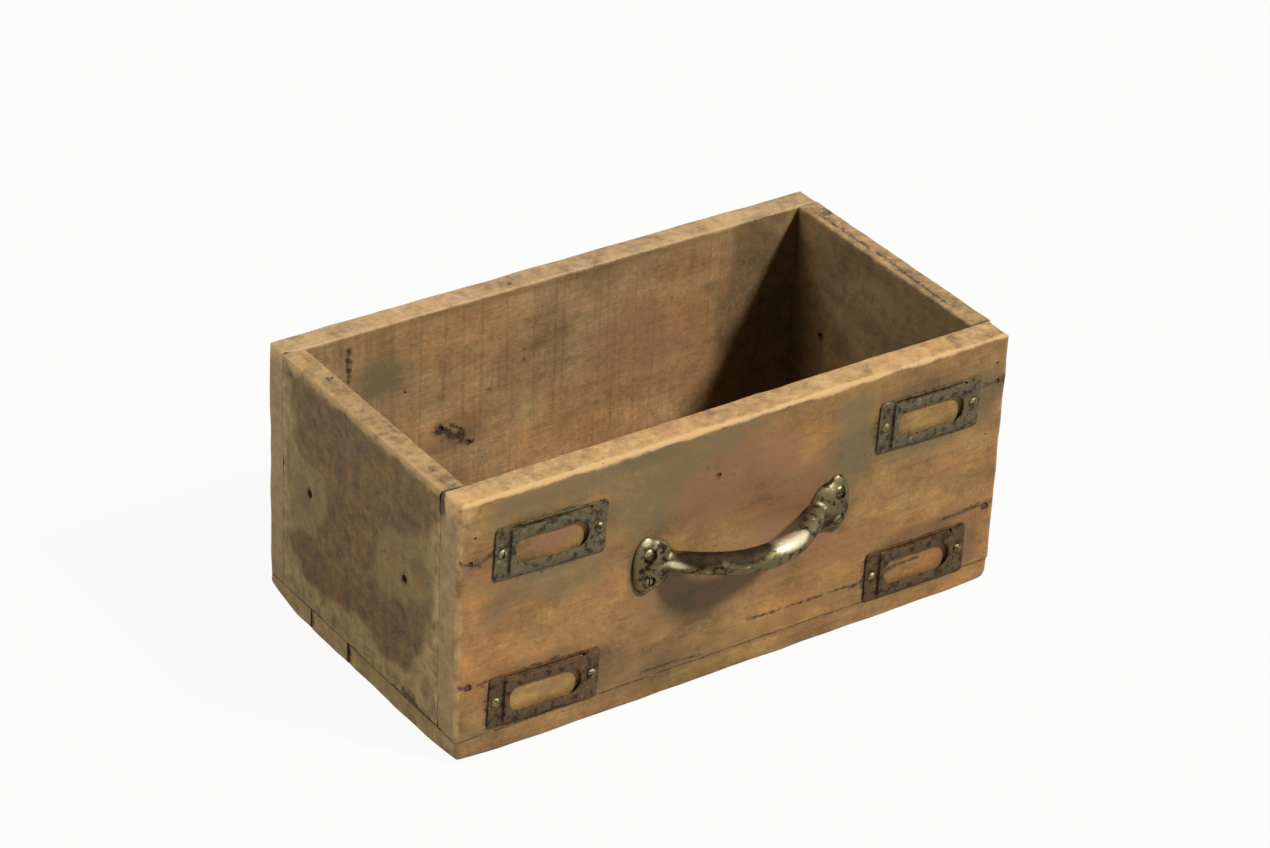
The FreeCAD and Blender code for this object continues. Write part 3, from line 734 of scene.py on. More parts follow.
# %% Find the nails and screws
def fixings(node):
    """The (low, high) corners of every loose part of a CAD node, in millimetres, from left to right."""
    copy = bmesh.new()
    copy.from_mesh(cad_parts[node].data)
    bmesh.ops.remove_doubles(copy, verts=copy.verts, dist=1e-6)
    left, found = set(copy.verts), []
    while left:
        group, front = set(), [left.pop()]
        while front:
            v = front.pop()
            group.add(v)
            for edge in v.link_edges:
                other = edge.other_vert(v)
                if other in left:
                    left.remove(other)
                    front.append(other)
        corners = [v.co / MM for v in group]
        found.append((Vector([min(c[i] for c in corners) for i in range(3)]),
                      Vector([max(c[i] for c in corners) for i in range(3)])))
    copy.free()
    return sorted(found, key=lambda pair: (round(pair[0].x), -round(pair[0].z)))


for node in sorted(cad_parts):
    if "nails" in node:
        print(node, [[round((a + b) / 2, 1) for a, b in zip(*pair)] for pair in fixings(node)])

# %% [markdown]
# ### Front board: holes and splits
#
# The front is the show side, waxed and golden. Its four nails are sunk and ringed with rot, a few tacks
# left small holes, and fine splits run along the grain near the nails and low down. Drying opened them at
# the nails first, so they are short and broken. Each hole and split is written with its own place, because
# a random scatter wouldn't gather at the nails.

# %% Holes and splits of the front board
FRONT, BACK = node_box("front_board")[0].y, node_box("back_board")[1].y
INWARD = (0, 1, 0)      # into the front board
NAIL_SINK = 1.8         # mm from the face of the wood to a sunk nail head
SHANK_HOLE = 1.5        # mm, the radius of the hole round a nail's shank


def nail_pits(board, toward, face, lower, upper):
    """The holes of a board's sunk nails, this wide at the lower nails and at the upper ones."""
    return [((low.x / 2 + high.x / 2, face, low.z / 2 + high.z / 2), toward,
             lower if low.z < cad_high.z / MM / 2 else upper, NAIL_SINK, SHANK_HOLE, 30)
            for side in ("left", "right") for low, high in fixings(f"{board}_{side}_nails")]


front_pits = nail_pits("front", INWARD, FRONT, 2.5, 1.8)
front_pits += [((x, FRONT, z), INWARD, radius, depth) for x, z, radius, depth in (
    (-165.3, 135.6, 0.9, 4), (167.2, 140.6, 0.8, 4), (-15.4, 126.6, 1.3, 0.8), (163, 97, 0.6, 2))]
front_splits = [((ax, FRONT, az), (bx, FRONT, bz), INWARD, *shape) for ax, az, bx, bz, *shape in (
    (8, 28.5, 30, 27.8, 0.3, 2.0, 0.8), (34, 27.8, 58, 27, 0.3, 2.0, 0.8), (62, 27.4, 88, 26, 0.3, 2.0, 0.8),
    (-58, 17.6, -36, 17.5, 0.35, 2.0), (-32, 16.6, -20, 15.8, 0.3, 2.0), (96, 29.5, 124, 31, 0.5, 2.5, 0.8),
    (-176, 124.2, -168, 119.8, 0.5, 4.0, 0.5), (-169, 120, -162.5, 119.6, 0.6, 3, 0.3),
    (-163.5, 119.6, -153.6, 124.2, 0.4, 3.0, 0.5), (-176.5, 48.6, -168, 46, 0.5, 4.0, 0.4),
    (-162, 45.5, -154, 46.7, 0.3, 2, 0.4), (138, 50, 165, 51.5, 0.4, 3.0, 0.8),
    (158, 128, 176.5, 129.5, 0.7, 4.0))]
print("front board", len(front_pits), "holes,", len(front_splits), "splits")

# %% [markdown]
# ### Front board: stains and painted shade
#
# Hands and wet brushes left their colours round the handle: an olive bloom along the top and beside the
# label holders, a red-brown patch above the handle, darker wax low down, and grime round every nail.
# Painted shade lies just under the handle and along the left edge of its left foot, and painted shadow
# lines run along the left and lower edges of each label holder and in the gap behind its top bar, which
# makes the holders sit on the board.

# %% Stains and painted shade of the front board
front_areas = [
    ("olive", "-y", [(-157, 141), (-153, 152), (-128, 154), (-84, 157), (-60, 165), (-5, 165), (20, 160),
                     (4, 146), (-12, 138), (-27, 133), (-40, 122), (-49, 105), (-71, 101), (-80, 116),
                     (-82, 135), (-94, 140), (-127, 140)], 13, 0.82),
    ("olive", "-y", [(-171, 116), (-150, 103), (-123, 97), (-89, 98), (-78, 101), (-79, 87), (-95, 82),
                     (-125, 87), (-148, 92), (-171, 101)], 12, 0.6),
    ("olive", "-y", [(62, 150), (84, 150), (84, 132), (84, 106), (72, 88), (60, 96), (62, 120)], 13, 0.75),
    ("dark", "-y", [(-88, 34), (-61, 31), (-29, 27), (4, 25), (70, 32), (86, 24), (40, 14), (5, 11),
                    (-15, 8), (-44, 9), (-66, 9), (-85, 13)], 12, 0.45),
    ("warm", "-y", [(-46, 142), (-2, 150), (30, 142), (34, 116), (8, 100), (-24, 98), (-44, 112)], 20, 1.1),
    ("warm", "-y", [(20, 110), (56, 112), (70, 80), (60, 54), (20, 46), (-40, 50), (-60, 60), (10, 76)], 22,
     0.9),
]
front_spots = spots_on(
    FRONT, 6,
    ("dark", -30, 128, 64, 30, 0.55), ("dark", 40, 100, 56, 34, 0.5), ("dark", -62, 151, 34, 7, 1.0),
    ("dark", -38, 143, 22, 6, 0.6), ("dark", -6, 112, 26, 12, 0.4), ("dark", -22, 134, 18, 5, 0.5),
    # Painted shade: the dark spots at x -40 and 10 lie under the handle, where its shadow falls.
    ("dark", 130, 50, 34, 5, 0.6), ("dark", -40, 46, 40, 12, 0.5), ("dark", 10, 56, 40, 10, 0.35),
    # Painted shade: the dark line at x -67.5 lies along the left edge of the handle's left foot, where its
    # shadow falls.
    ("dark", -67.5, 84, 5, 19, 1.0), ("olive", -152, 86, 14, 12, 0.5), ("olive", 160, 112, 14, 12, 0.6),
    ("olive", 165, 128, 14, 9, 0.9), ("olive", -34, 62, 54, 24, 0.4), ("warm", -118, 120, 24, 9, 1.0),
    ("warm", -130, 148, 26, 6, 0.7), ("warm", 66, 56, 54, 14, 0.6), ("warm", 140, 44, 34, 12, 0.7),
    ("warm", 150, 22, 22, 8, 0.9), ("warm", -110, 40, 30, 8, 0.5), ("grime", 172, 129, 7, 4, 0.7),
    ("grime", -166, 46.5, 5, 3, 0.6), ("grime", 168, 51, 8, 4, 0.6), ("grime", -16, 126.5, 3, 2, 0.8),
    ("grime", -22, 131, 14, 2, 0.3))
front_spots += rim_spots(
    ("dark", 20, -78, 50, 7, 0.6), ("warm", -16, -80, 30, 9, 1.2), ("warm", 70, -84, 30, 5, 0.9),
    ("warm", -120, -80, 34, 5, 0.6), ("warm", 112, -80, 30, 4, 0.6))
front_spots += [("grime", (-176, -79, 151), (5, 3.5, 9), 1.6), ("grime", (-34, -78, RIM), (5, 2, 2), 0.6)]
for which in ("upper_left", "upper_right", "lower_left", "lower_right"):
    low, high = node_box(f"{which}_label_holder")
    x, z = (low.x + high.x) / 2, (low.z + high.z) / 2
    # Painted shadow: the grime lines along each holder's left and lower edges stand for the shadow that the
    # holder throws on the wood.
    front_spots += spots_on(
        FRONT, 4, ("grime", low.x - 0.5, z, 2.2, 17, 0.7), ("grime", x, low.z - 0.5, 34, 1.8, 0.5),
        ("dark", x + 38, z, 9, 18, 0.8), ("dark", x, high.z + 2, 36, 6, 0.6),
        ("olive", x, low.z - 3, 40, 7, 0.8))
    # Painted shade: this grime line darkens the gap behind the holder's top bar.
    front_spots += spots_on(FRONT, 3, ("grime", x, z + 13.5, 27, 3, 0.9))
make_board(
    "front_board", FRONT_PINE,
    {"all": 0.5, "-y+z": 3.2, "+y+z": 2.4, "-x-y": 3.0, "+x-y": 3.4, "-x+z": 4.5, "+x+z": 5.0},
    [("worn", "-y+z", 3.1, 1.9), ("worn", "+z", 2.5, 0.55), ("worn", "-x-y", 3.0, 0.85),
     ("worn", "+x-y", 2.5, 0.6), ("worn", "-x+z", 14, 1.1), ("worn", "+y+z", 3, 0.8),
     ("dusty", "-x", 1.5, 1.1), ("dusty", "+x", 1.5, 1.0)],
    front_spots, front_splits, front_pits, areas=front_areas)

# %% [markdown]
# ### Back board
#
# Inside, the back board shows its saw marks, a torn dark knot hole low on the left, and a small split
# above it. The right end lies in the shadow of the right board, and that shade is painted into its colour
# as well. The knot hole is three small pits and two short splits under one black smudge, since a single
# round hole would look drilled.

# %% Back board
INNER_BACK = 80  # mm, the inner face of the back board
back_spots = spots_on(
    INNER_BACK, 5,
    ("grime", -76, 81, 7, 3.5, 1.0), ("grime", -66, 75, 9, 2.6, 1.0), ("grime", -57, 67.5, 3.5, 2.6, 1.0),
    ("grime", -135, 141, 1.5, 13, 0.7), ("grime", -20, 131, 9, 1.6, 0.4), ("grime", -22, 114, 2, 8, 0.3),
    ("grime", -98, 112, 2.6, 2, 0.6), ("grime", -44, 96, 2, 2, 0.6), ("grime", 40, 118, 2.5, 3, 0.5),
    ("dark", -68, 76, 24, 16, 0.5), ("dark", 0, 154, 170, 4, 0.45), ("olive", -116, 124, 20, 20, 0.9),
    ("warm", 60, 100, 60, 30, 0.5))
# Painted shade: this dark patch darkens the right end of the inner face, where the right board's shadow
# falls.
back_spots += spots_on(INNER_BACK, 6, ("dark", 134, 100, 36, 90, 1.2))
back_spots += rim_spots(
    ("dark", -10, BACK - 8, 80, 10, 0.75), ("dark", -124, 88, 18, 7, 0.7), ("dark", 10, 87, 70, 6, 0.75),
    ("warm", -60, 90, 30, 4, 0.6), ("grime", -172, 80, 3, 2.5, 0.9))
back_spots += [("grime", (-30, 86, RIM), (6, 2, 2), 0.5)]
back_pits = nail_pits("back", (0, -1, 0), BACK, 3.3, 3.3)
back_pits += [((x, INNER_BACK, z), INWARD, radius, depth) for x, z, radius, depth in (
    (-76, 81, 2.2, 0.9), (-57, 67.5, 1.3, 0.9), (-99, 111, 0.8, 0.6))]
back_splits = [((ax, INNER_BACK, az), (bx, INNER_BACK, bz), INWARD, *shape) for ax, az, bx, bz, *shape in (
    (-75, 80, -60, 70, 1.1, 1.6, 1.0), (-70, 83, -60, 76, 0.6, 1.0), (-134.5, 149, -134.5, 128, 0.5, 1.6))]
make_board(
    "back_board", BACK_PINE,
    {"all": 0.5, "+y+z": 2.4, "-y+z": 1.6, "-x+y": 4.0, "+x+y": 4.0, "-x+z": 3.0, "+x+z": 3.6},
    [("worn", "+z", 2.5, 0.55), ("worn", "-y+z", 2.2, 1.0), ("worn", "-x+y", 4, 0.7),
     ("worn", "+x+y", 4, 0.6), ("worn", "+y+z", 4, 1.0), ("worn", "-x+z", 14, 0.8),
     ("dusty", "-x", 1.5, 1.1), ("dusty", "+x", 1.5, 1.0)],
    back_spots, back_splits, back_pits)

# %% [markdown]
# ### Side boards
#
# The sides rubbed in a chest for years, so they are matt and dusty, with a dark patch where wax and soot
# stayed. Each has two holes right through it, where a drawer runner was once screwed on. The left one lost
# a chip beside the front board, and the rim of the right one has split along its grain.

# %% Side boards
LEFT = cad_low.x / MM
RUNNER_HOLES = (51.5, -44.5)  # mm, from front to back, at the height below
RUNNER_HEIGHT = 86
side_areas = {
    "left": [
        ("dark", "-x", [(74, 150), (-74, 153), (-73, 138), (-66, 122), (-44, 115), (-27, 109), (-18, 96),
                        (-14, 80), (-18, 66), (-41, 69), (-71, 88), (-67, 73), (-59, 52), (-48, 30),
                        (-28, 27), (-3, 38), (25, 33), (55, 29), (69, 41), (72, 51), (41, 68), (32, 87),
                        (34, 104), (50, 104), (64, 104), (67, 128)], 7, 1.4),
        ("dark", "-x", [(74, 106), (28, 108), (26, 50), (74, 48)], 9, 0.42),
        ("dark", "-x", [(-10, 114), (-66, 124), (-72, 60), (-12, 60)], 9, 0.45),
        ("grime", "-x", [(-37, 18), (-50, 21), (-70, 15), (-70, 13), (-60, 12), (-42, 12)], 6, 1.15),
    ],
    "right": [
        ("dark", "+x", [(-70, 150), (40, 152), (70, 140), (60, 90), (30, 60), (-20, 70), (-50, 40),
                        (-68, 60), (-64, 110)], 9, 1.1),
        ("dark", "+x", [(-40, 40), (20, 50), (40, 22), (-20, 18)], 8, 0.9),
    ],
}
side_spots = {
    "left": [
        ("dark", (LEFT, -58, 98), (12, 16, 16), 0.75), ("dark", (LEFT, -34, 92), (9, 12, 12), 0.7),
        ("dark", (LEFT, 56, 80), (12, 14, 20), 0.6), ("dark", (LEFT, -66, 30), (8, 6, 14), 0.5),
        ("dark", (LEFT, 74, 96), (5, 3, 26), 0.7), ("grime", (LEFT, -26, 92), (3, 4, 3), 0.6),
        ("grime", (LEFT, 72, 149), (3, 5, 4), 0.8), ("grime", (LEFT, -79, 151), (6, 3.5, 9), 1.6),
        ("grime", (LEFT, 52, 86), (3, 4, 5), 0.9), ("grime", (LEFT, -44, 86), (3, 4, 6), 0.9),
        ("grime", (LEFT + 7, -58, RIM), (2.5, 4, 2), 0.7),
        *rim_spots(("dark", LEFT + 6, -64, 5, 12, 0.8), ("dark", LEFT + 10, 20, 4, 40, 0.5),
                   ("dark", LEFT + 10, 64, 4, 8, 0.9), ("grime", LEFT + 9, 46, 3, 8, 0.5)),
    ],
    "right": [
        ("dark", (161, 0, 90), (6, 90, 70), 0.5), ("dusty", (161, 44, 84), (5, 8, 18), 0.8),
        ("grime", (161, -39, 140), (4, 3, 2.5), 0.9), ("dusty", (161, 10, 130), (5, 50, 18), 0.5),
        *rim_spots(("grime", 170, 66, 4, 8, 0.6), ("warm", 168, 10, 6, 50, 0.6)),
    ],
}
side_edges = {
    "left": [("dusty", "-x", 1.5, 1.15), ("worn", "+z", 2.5, 0.55), ("worn", "-x+z", 5, 1.2),
             ("worn", "-x-y", 9, 0.35), ("worn", "-x+y", 8, 0.35)],
    "right": [("dusty", "+x", 1.5, 1.15), ("worn", "+z", 2.5, 0.55), ("worn", "+x+z", 5, 1.0),
              ("worn", "+x-y", 8, 0.4), ("dark", "-x", 1.5, 0.4)],
}
side_splits = {"left": [], "right": [
    ((165.5, 70, RIM), (166, 20, RIM), (0, 0, -1), 0.6, 2.0, 1.0),
    ((166.5, 14, RIM), (165, -52, RIM), (0, 0, -1), 0.5, 2.0, 1.0)]}
side_chips = {"left": [chip_tool((-175, -78.4, 152.5), (2.0, 1.4, 4.6))], "right": []}
for side, sign, outer, inner in (("left", -1, "-x", "+x"), ("right", 1, "+x", "-x")):
    pits = [((sign * 176, y, RUNNER_HEIGHT), (-sign, 0, 0), 2.5, 16, 0, 0, 0.2) for y in RUNNER_HOLES]
    make_board(f"{side}_side_board", SIDE_PINE,
               {"all": 0.5, outer + "+z": 2.4, inner + "+z": 1.8, outer + "-y": 0.9},
               side_edges[side], side_spots[side], side_splits[side], pits, side_chips[side],
               side_areas[side])

# %% [markdown]
# ### Bottom planks
#
# Three planks close the box from below. Their edges took every knock when the drawer was set down, so
# their lower corners are the roundest of all. They are nailed up into the boards, and dirt fills the seam.
# The front plank shows below the front board, so it has the same wax.

# %% Bottom planks
plank_edges = [("dusty", "-x", 1.5, 1.0), ("dusty", "+x", 1.5, 1.0), ("worn", "-x-z", 5, 0.5),
               ("dark", "+z", 1.5, 1.1), ("grime", "+z", 1.5, 0.5)]
plank_rounds = {
    "front": {"all": 0.6, "-x-z": 3, "+x-z": 4, "-x-y": 5.0, "+x-y": 5.0, "-y-z": 2.4, "-x+y": 1.6,
              "+y-z": 1.5, "-x-z-y": 8, "-y-z-x": 7, "+x-z-y": 12.5, "-y-z+x": 5},
    "middle": {"all": 0.6, "-x-z": 2.5, "+x-z": 2.5, "-x-y": 1.2, "-x+y": 0.8},
    "back": {"all": 0.6, "-x-z": 3, "+x-z": 3, "-x+y": 4.5, "+x+y": 4.5, "+y-z": 3, "-x-y": 1.0,
             "-x-z+y": 12.5, "+x-z+y": 9, "+y-z-x": 9},
}
for which, rounds in plank_rounds.items():
    low, high = node_box(f"bottom_{which}_plank")
    feet = [((a.x + b.x) / 2, (a.y + b.y) / 2, 0) for a, b in fixings(f"{which}_plank_nails")]
    spots = [("grime", foot, (7, 7, 4), 0.6) for foot in feet]
    spots += [("grime", (low.x, high.y, 4), (4, 3, 12), 0.9), ("dark", (0, low.y, 13), (180, 4, 2.5), 0.5)]
    make_board(f"bottom_{which}_plank", FRONT_PINE if which == "front" else PLANK_PINE, rounds, plank_edges,
               spots, pits=[(foot, (0, 0, 1), 3.3, NAIL_SINK, SHANK_HOLE, 20) for foot in feet])

# %% [markdown]
# ## Old metal
#
# The handle is cast brass, the label holders pressed brass sheet, and the nails are iron. Brass that is
# handled and washed turns olive brown and stays bright only where hands rub it, and damp leaves a dark
# crust in corners. Rust on iron is matt and lumpy. Each metal mixes its clean colour with its crust by
# noise, and stored numbers say where hands rubbed or damp stayed. On the handle and the label holders some
# of these numbers are painted highlights, painted dark reflections and painted shade instead.

# %% Metal finishes
GRIT_SHARE = 0.22  # how coarse a metal's grit is beside its clouds of tarnish


def gated(tree, grit, by, amount, low, high, most=1.0):
    """A stored number with its edge broken up by grit, as a share from 0 to most."""
    broken = add(tree, "Math", {0: grit, 1: by, 2: -by / 2}, operation="MULTIPLY_ADD")
    edge = add(tree, "Math", {0: broken, 1: amount}, operation="ADD")
    return add(tree, "MapRange", {"Value": edge, "From Min": low, "From Max": high, "To Max": most})


def old_metal(name, clean, patina, crust, size, metallic, rubbed_rough, dull_rough):
    """Old metal: a satin patina, a dull crust in spots, and clean metal where it was rubbed bright. Stored
    numbers also lay painted highlights and painted shade.
    """
    finish, tree, surface, mm = new_finish(name)
    clouds = speckle(tree, mm, size, 6.0, 0.65)
    grit = speckle(tree, mm, size * GRIT_SHARE, 4.0, 0.7)
    rubbed_and_highlight, tarnish_and_shade = (add(tree, "Attribute", {}, attribute_name=stored).outputs["Fac"]
                       for stored in ("rubbed_and_highlight", "tarnish_and_shade"))
    colour = shades(tree, clouds, (0.40, crust), (0.50, patina), (0.62, patina), (0.75, clean))
    bright = gated(tree, grit, 0.9, rubbed_and_highlight, 0.25, 0.8)
    colour = add(tree, "Mix", {"Factor": bright, "A": colour, "B": clean}, data_type="RGBA")
    crust_and_shade = gated(tree, grit, 0.8, tarnish_and_shade, 0.2, 0.8, 0.9)
    colour = add(tree, "Mix", {"Factor": crust_and_shade, "A": colour, "B": crust}, data_type="RGBA")
    tree.links.new(socket(colour.outputs), surface.inputs["Base Color"])
    surface.inputs["Metallic"].default_value = metallic
    worn = add(tree, "MapRange", {"Value": bright, "To Min": dull_rough, "To Max": rubbed_rough})
    rough = add(tree, "MapRange", {"Value": crust_and_shade, "To Max": 0.2})
    total = add(tree, "Math", {0: worn, 1: rough}, operation="ADD")
    tree.links.new(total.outputs[0], surface.inputs["Roughness"])
    pits = add(tree, "Bump", {"Height": grit, "Distance": 0.3 * MM, "Strength": 0.5})
    tree.links.new(pits.outputs[0], surface.inputs["Normal"])
    print(name, "with", len(tree.nodes), "nodes")
    return finish


HANDLE_BRASS = old_metal("cast_brass_rubbed_painted_light", "#E6DAB6", "#72674A", "#281E11", 6, 0.9, 0.22, 0.44)
GREEN_BRASS = old_metal("pressed_brass_green_patina", "#A49C80", "#645A43", "#352E22", 4, 0.65, 0.35, 0.6)
BROWN_BRASS = old_metal("pressed_brass_brown_patina", "#A08660", "#5C4831", "#302318", 4, 0.65, 0.35, 0.6)
SCREW_BRASS = old_metal("turned_brass_screws", "#D8CDA8", "#857A58", "#3A3020", 3, 0.85, 0.25, 0.42)
RUSTED_IRON = old_metal("forged_iron_rust", "#7A6248", "#553C28", "#33221A", 2.0, 0.3, 0.5, 0.8)

# %% [markdown]
# ### Rubbed and tarnished places, with painted light
#
# Fingers polish the same few places of a handle, and damp stays in the same corners. Other places are
# painted highlights, painted dark reflections and painted shade. As on the wood, these places are soft
# balls, and the strongest one counts at each point.

# %% Mark a metal piece
def mark_metal(piece, marks):
    """Writes the rubbed and tarnish numbers, painted highlights and painted shade among them, on every point
    of a metal piece.
    """
    points = [v.co / MM for v in piece.data.vertices]
    for name in ("rubbed_and_highlight", "tarnish_and_shade"):
        mine = [m[1:] for m in marks if m[0] == name]
        numbers = [max([0.0] + [
            strength * max(0, 1 - math.sqrt(sum(((p - c) / r) ** 2 for p, c, r in zip(place, centre, radii))))
            for centre, radii, strength in mine]) for place in points]
        layer = piece.data.attributes.new(name, "FLOAT", "POINT")
        layer.data.foreach_set("value", numbers)

# %% [markdown]
# ## Handle
#
# The real handle was cast in one: a round bar bows out and swells at its shoulders into two domed oval
# feet. One smooth curve makes the bar, thicker at its middle. A swept circle would do the same, but a curve
# takes its radius at each point and keeps the bar round.

# %% Bar of the handle
HANDLE = Vector((1.2, FRONT, 85))   # the middle of the handle, on the face of the front board
BOW_REACH, BOW_RISE = 49.5, 25.0    # mm to where the bow's curve meets the board, and out to its middle
BAR_END = 55                        # mm from the middle of the handle to the ends of the bar
BAR_RADII = (5.6, 7.1, 5.6)


def bar_curve():
    """The bar: a parabola drawn by three Bezier points, with a radius at each."""
    curve = bpy.data.curves.new("bar", "CURVE")
    curve.dimensions, curve.resolution_u, curve.bevel_resolution = "3D", 24, 6
    curve.bevel_depth, curve.use_fill_caps = 1, True
    spline = curve.splines.new("BEZIER")
    spline.bezier_points.add(2)
    reach = BAR_END / 3
    for point, across, radius in zip(spline.bezier_points, (-BAR_END, 0, BAR_END), BAR_RADII):
        off_board = -BOW_RISE * (1 - (across / BOW_REACH) ** 2)
        slope = 2 * BOW_RISE * across / BOW_REACH ** 2
        point.co = HANDLE + Vector((across, off_board, 0))
        point.handle_left_type = point.handle_right_type = "FREE"
        point.handle_left = point.co - Vector((reach, reach * slope, 0))
        point.handle_right = point.co + Vector((reach, reach * slope, 0))
        point.radius = radius
    return bpy.data.objects.new("bar", curve)


bar = bar_curve()
bpy.context.scene.collection.objects.link(bar)
casting = bmesh.new()
casting.from_mesh(bpy.data.meshes.new_from_object(
    bar.evaluated_get(bpy.context.evaluated_depsgraph_get())))
bpy.data.objects.remove(bar)
print("bar", 2 * BAR_END, "mm long")

# %% [markdown]
# ### Feet, welded to the bar
#
# Squashed balls make the shoulders and the domed feet. A boolean would join them with sharp seams, so a
# voxel remesh welds everything into one skin, and smoothing rounds the corners as the mould did. A faint
# swell keeps the unevenness of sand casting, and the back is cut flat where it lies on the board.

# %% Cast the handle
FOOT_SPREAD = 61.2                       # mm from the middle of the handle to the middle of a foot
SHOULDERS = (56.5, (12.5, 5.9, 15))      # the same for a shoulder, with its three radii
FEET = (FOOT_SPREAD, (9, 4.4, 18))
VOXEL = 0.6                              # mm, fine enough for the thin rim of a foot
SMOOTHING = 14                           # passes, until the remesh's steps are gone
for sign in (-1, 1):
    for spread, radii in (SHOULDERS, FEET):
        ball = bmesh.ops.create_uvsphere(casting, u_segments=40, v_segments=24, radius=1)["verts"]
        bmesh.ops.scale(casting, vec=radii, verts=ball)
        bmesh.ops.translate(casting, vec=HANDLE + Vector((sign * spread, 0, 0)), verts=ball)
handle = finished("cast_handle", casting, HANDLE_BRASS, "handle")
weld = handle.modifiers.new("weld", "REMESH")
weld.mode, weld.voxel_size = "VOXEL", VOXEL * MM
applied(handle)

made = bmesh.new()
made.from_mesh(handle.data)
bmesh.ops.scale(made, vec=(1 / MM,) * 3, verts=made.verts)
for _ in range(SMOOTHING):
    bmesh.ops.smooth_vert(made, verts=made.verts, factor=0.5, use_axis_x=True, use_axis_y=True,
                          use_axis_z=True)
made.normal_update()
for v in made.verts:
    v.co += v.normal * (0.16 * swell(v.co, 7) + 0.07 * swell(v.co, 2.4) - 0.05)
cut = cut_across(made, (0, FRONT, 0), (0, 1, 0), clear_outer=True)
bmesh.ops.holes_fill(made, edges=[e for e in cut["geom_cut"] if isinstance(e, bmesh.types.BMEdge)], sides=0)
bmesh.ops.scale(made, vec=(MM,) * 3, verts=made.verts)
made.to_mesh(handle.data)
made.free()
print("handle", len(handle.data.polygons), "faces before its screw seats")

# %% [markdown]
# ### Screw seats, polish and painted light
#
# Two screws hold each foot, in seats that were bored after casting. Hands polished the bar a little to the
# right of its middle, where fingers close, and that rubbed patch is also a painted highlight, as are the
# bright marks on the left neck and the top of the left foot. The dark upper side of the bar and its darker
# underside are painted dark reflections and painted shade, and painted shade lines run along the left
# foot's outer edge and under the right shoulder.

# %% Bore and mark the handle
SCREW_PITCH, SCREW_SEAT = 16.6, 2.0      # mm between a foot's screws, and from the board to their seats
screw_spots = [HANDLE + Vector((side * FOOT_SPREAD, 0, end * SCREW_PITCH / 2))
               for side in (-1, 1) for end in (1, -1)]
carve(handle, [as_tool(lathe([(-SCREW_SEAT - 6, 0), (-SCREW_SEAT - 6, 3.9), (-SCREW_SEAT, 3.75),
                              (-SCREW_SEAT, 2.1), (1, 2.1), (1, 0)], spot, INWARD, 28))
               for spot in screw_spots])
mark_metal(handle, [
    # Partly rubbed brass and partly painted highlights: the bar right of its middle, the left neck, the left
    # foot's top.
    ("rubbed_and_highlight", (16, FRONT - 26, 90), (20, 9, 5), 1.6), ("rubbed_and_highlight", (34, FRONT - 20, 88), (14, 9, 4), 0.3),
    ("rubbed_and_highlight", (-46, FRONT - 9, 86), (12, 8, 3), 1.2), ("rubbed_and_highlight", (-61, FRONT - 4, 100.5), (7, 5, 3), 1.0),
    # Painted dark reflections and painted shade: the upper side and underside of the bar, the left foot's
    # outer edge and the underside of the right shoulder.
    ("tarnish_and_shade", (-36, FRONT - 16, 92), (24, 16, 8.5), 2.2),
    ("tarnish_and_shade", (-14, FRONT - 26, 92.5), (22, 14, 8), 2.2),
    ("tarnish_and_shade", (40, FRONT - 14, 96), (26, 16, 6.5), 1.6),
    ("tarnish_and_shade", (-8, FRONT - 20, 77), (50, 10, 3.5), 0.9),
    ("tarnish_and_shade", (-69.5, FRONT, 85), (3.2, 4, 19), 1.0), ("tarnish_and_shade", (56, FRONT - 6, 78), (9, 7, 7), 0.8),
])
smooth(handle, 50)
print("handle", len(handle.data.polygons), "faces")

# %% [markdown]
# ## Screws
#
# Brass screws with domed, slotted heads hold the handle and the label holders. A head could be half a ball,
# but a lathed profile gives its low dome and its shank at once. The slot is cut out, and each is turned by
# its own angle, as a hand left it. Screws of one CAD node are joined into the piece that replaces it.

# %% Foot screws
DOME = (0, 15, 30, 45, 60, 74)  # degrees over a screw's dome, from its top to its rim


def screw(seat, radius, height, shank, length, slot_width, slot_depth, turned):
    """A domed screw head on its seat, with its slot turned by some degrees, and its shank in the wood."""
    profile = [(-height * math.cos(math.radians(a)), radius * math.sin(math.radians(a))) for a in DOME]
    profile += [(-height * 0.1, radius), (0, radius * 0.97), (0, shank), (length - 3, shank * 0.9),
                (length, 0.01), (length, 0)]
    head = as_tool(lathe(profile, seat, INWARD, 28))
    slot = box_mesh(Vector((-radius * 1.3, -height - 1, -slot_width / 2)),
                    Vector((radius * 1.3, -height + slot_depth, slot_width / 2)))
    bmesh.ops.transform(slot, verts=slot.verts, matrix=(
        Matrix.Translation(seat) @ Matrix.Rotation(math.radians(-turned), 4, "Y")))
    carve(head, [as_tool(slot)])
    return head


def join(name, pieces, finish, marks, *nodes):
    """Joins several solids into the one piece that stands for a CAD node."""
    made = bmesh.new()
    for piece in pieces:
        made.from_mesh(piece.data)
        bpy.data.meshes.remove(piece.data)
    bmesh.ops.scale(made, vec=(1 / MM,) * 3, verts=made.verts)
    whole = finished(name, made, finish, *nodes)
    mark_metal(whole, marks)
    smooth(whole, 35)
    print(name, len(pieces), "solids")


for side, spots, turns in (("left", screw_spots[:2], (25, 90)), ("right", screw_spots[2:], (0, 35))):
    screws = [screw(spot + Vector((0, -SCREW_SEAT, 0)), 3.6, 2.4, 2.0, 15, 0.9, 1.2, turned)
              for spot, turned in zip(spots, turns)]
    join(f"{side}_foot_screws", screws, SCREW_BRASS,
         [("tarnish_and_shade", spot + Vector((1.5, -3, -2)), (3.5, 3, 3), 0.6) for spot in spots],
         f"handle_{side}_screws")

# %% [markdown]
# ## Nails
#
# Cut iron nails hold the boards, their heads sunk a little below the wood and eaten by rust. Each is lathed
# to the length of its CAD nail, with a flat head and a tapering shank, and noise knocks it out of round.

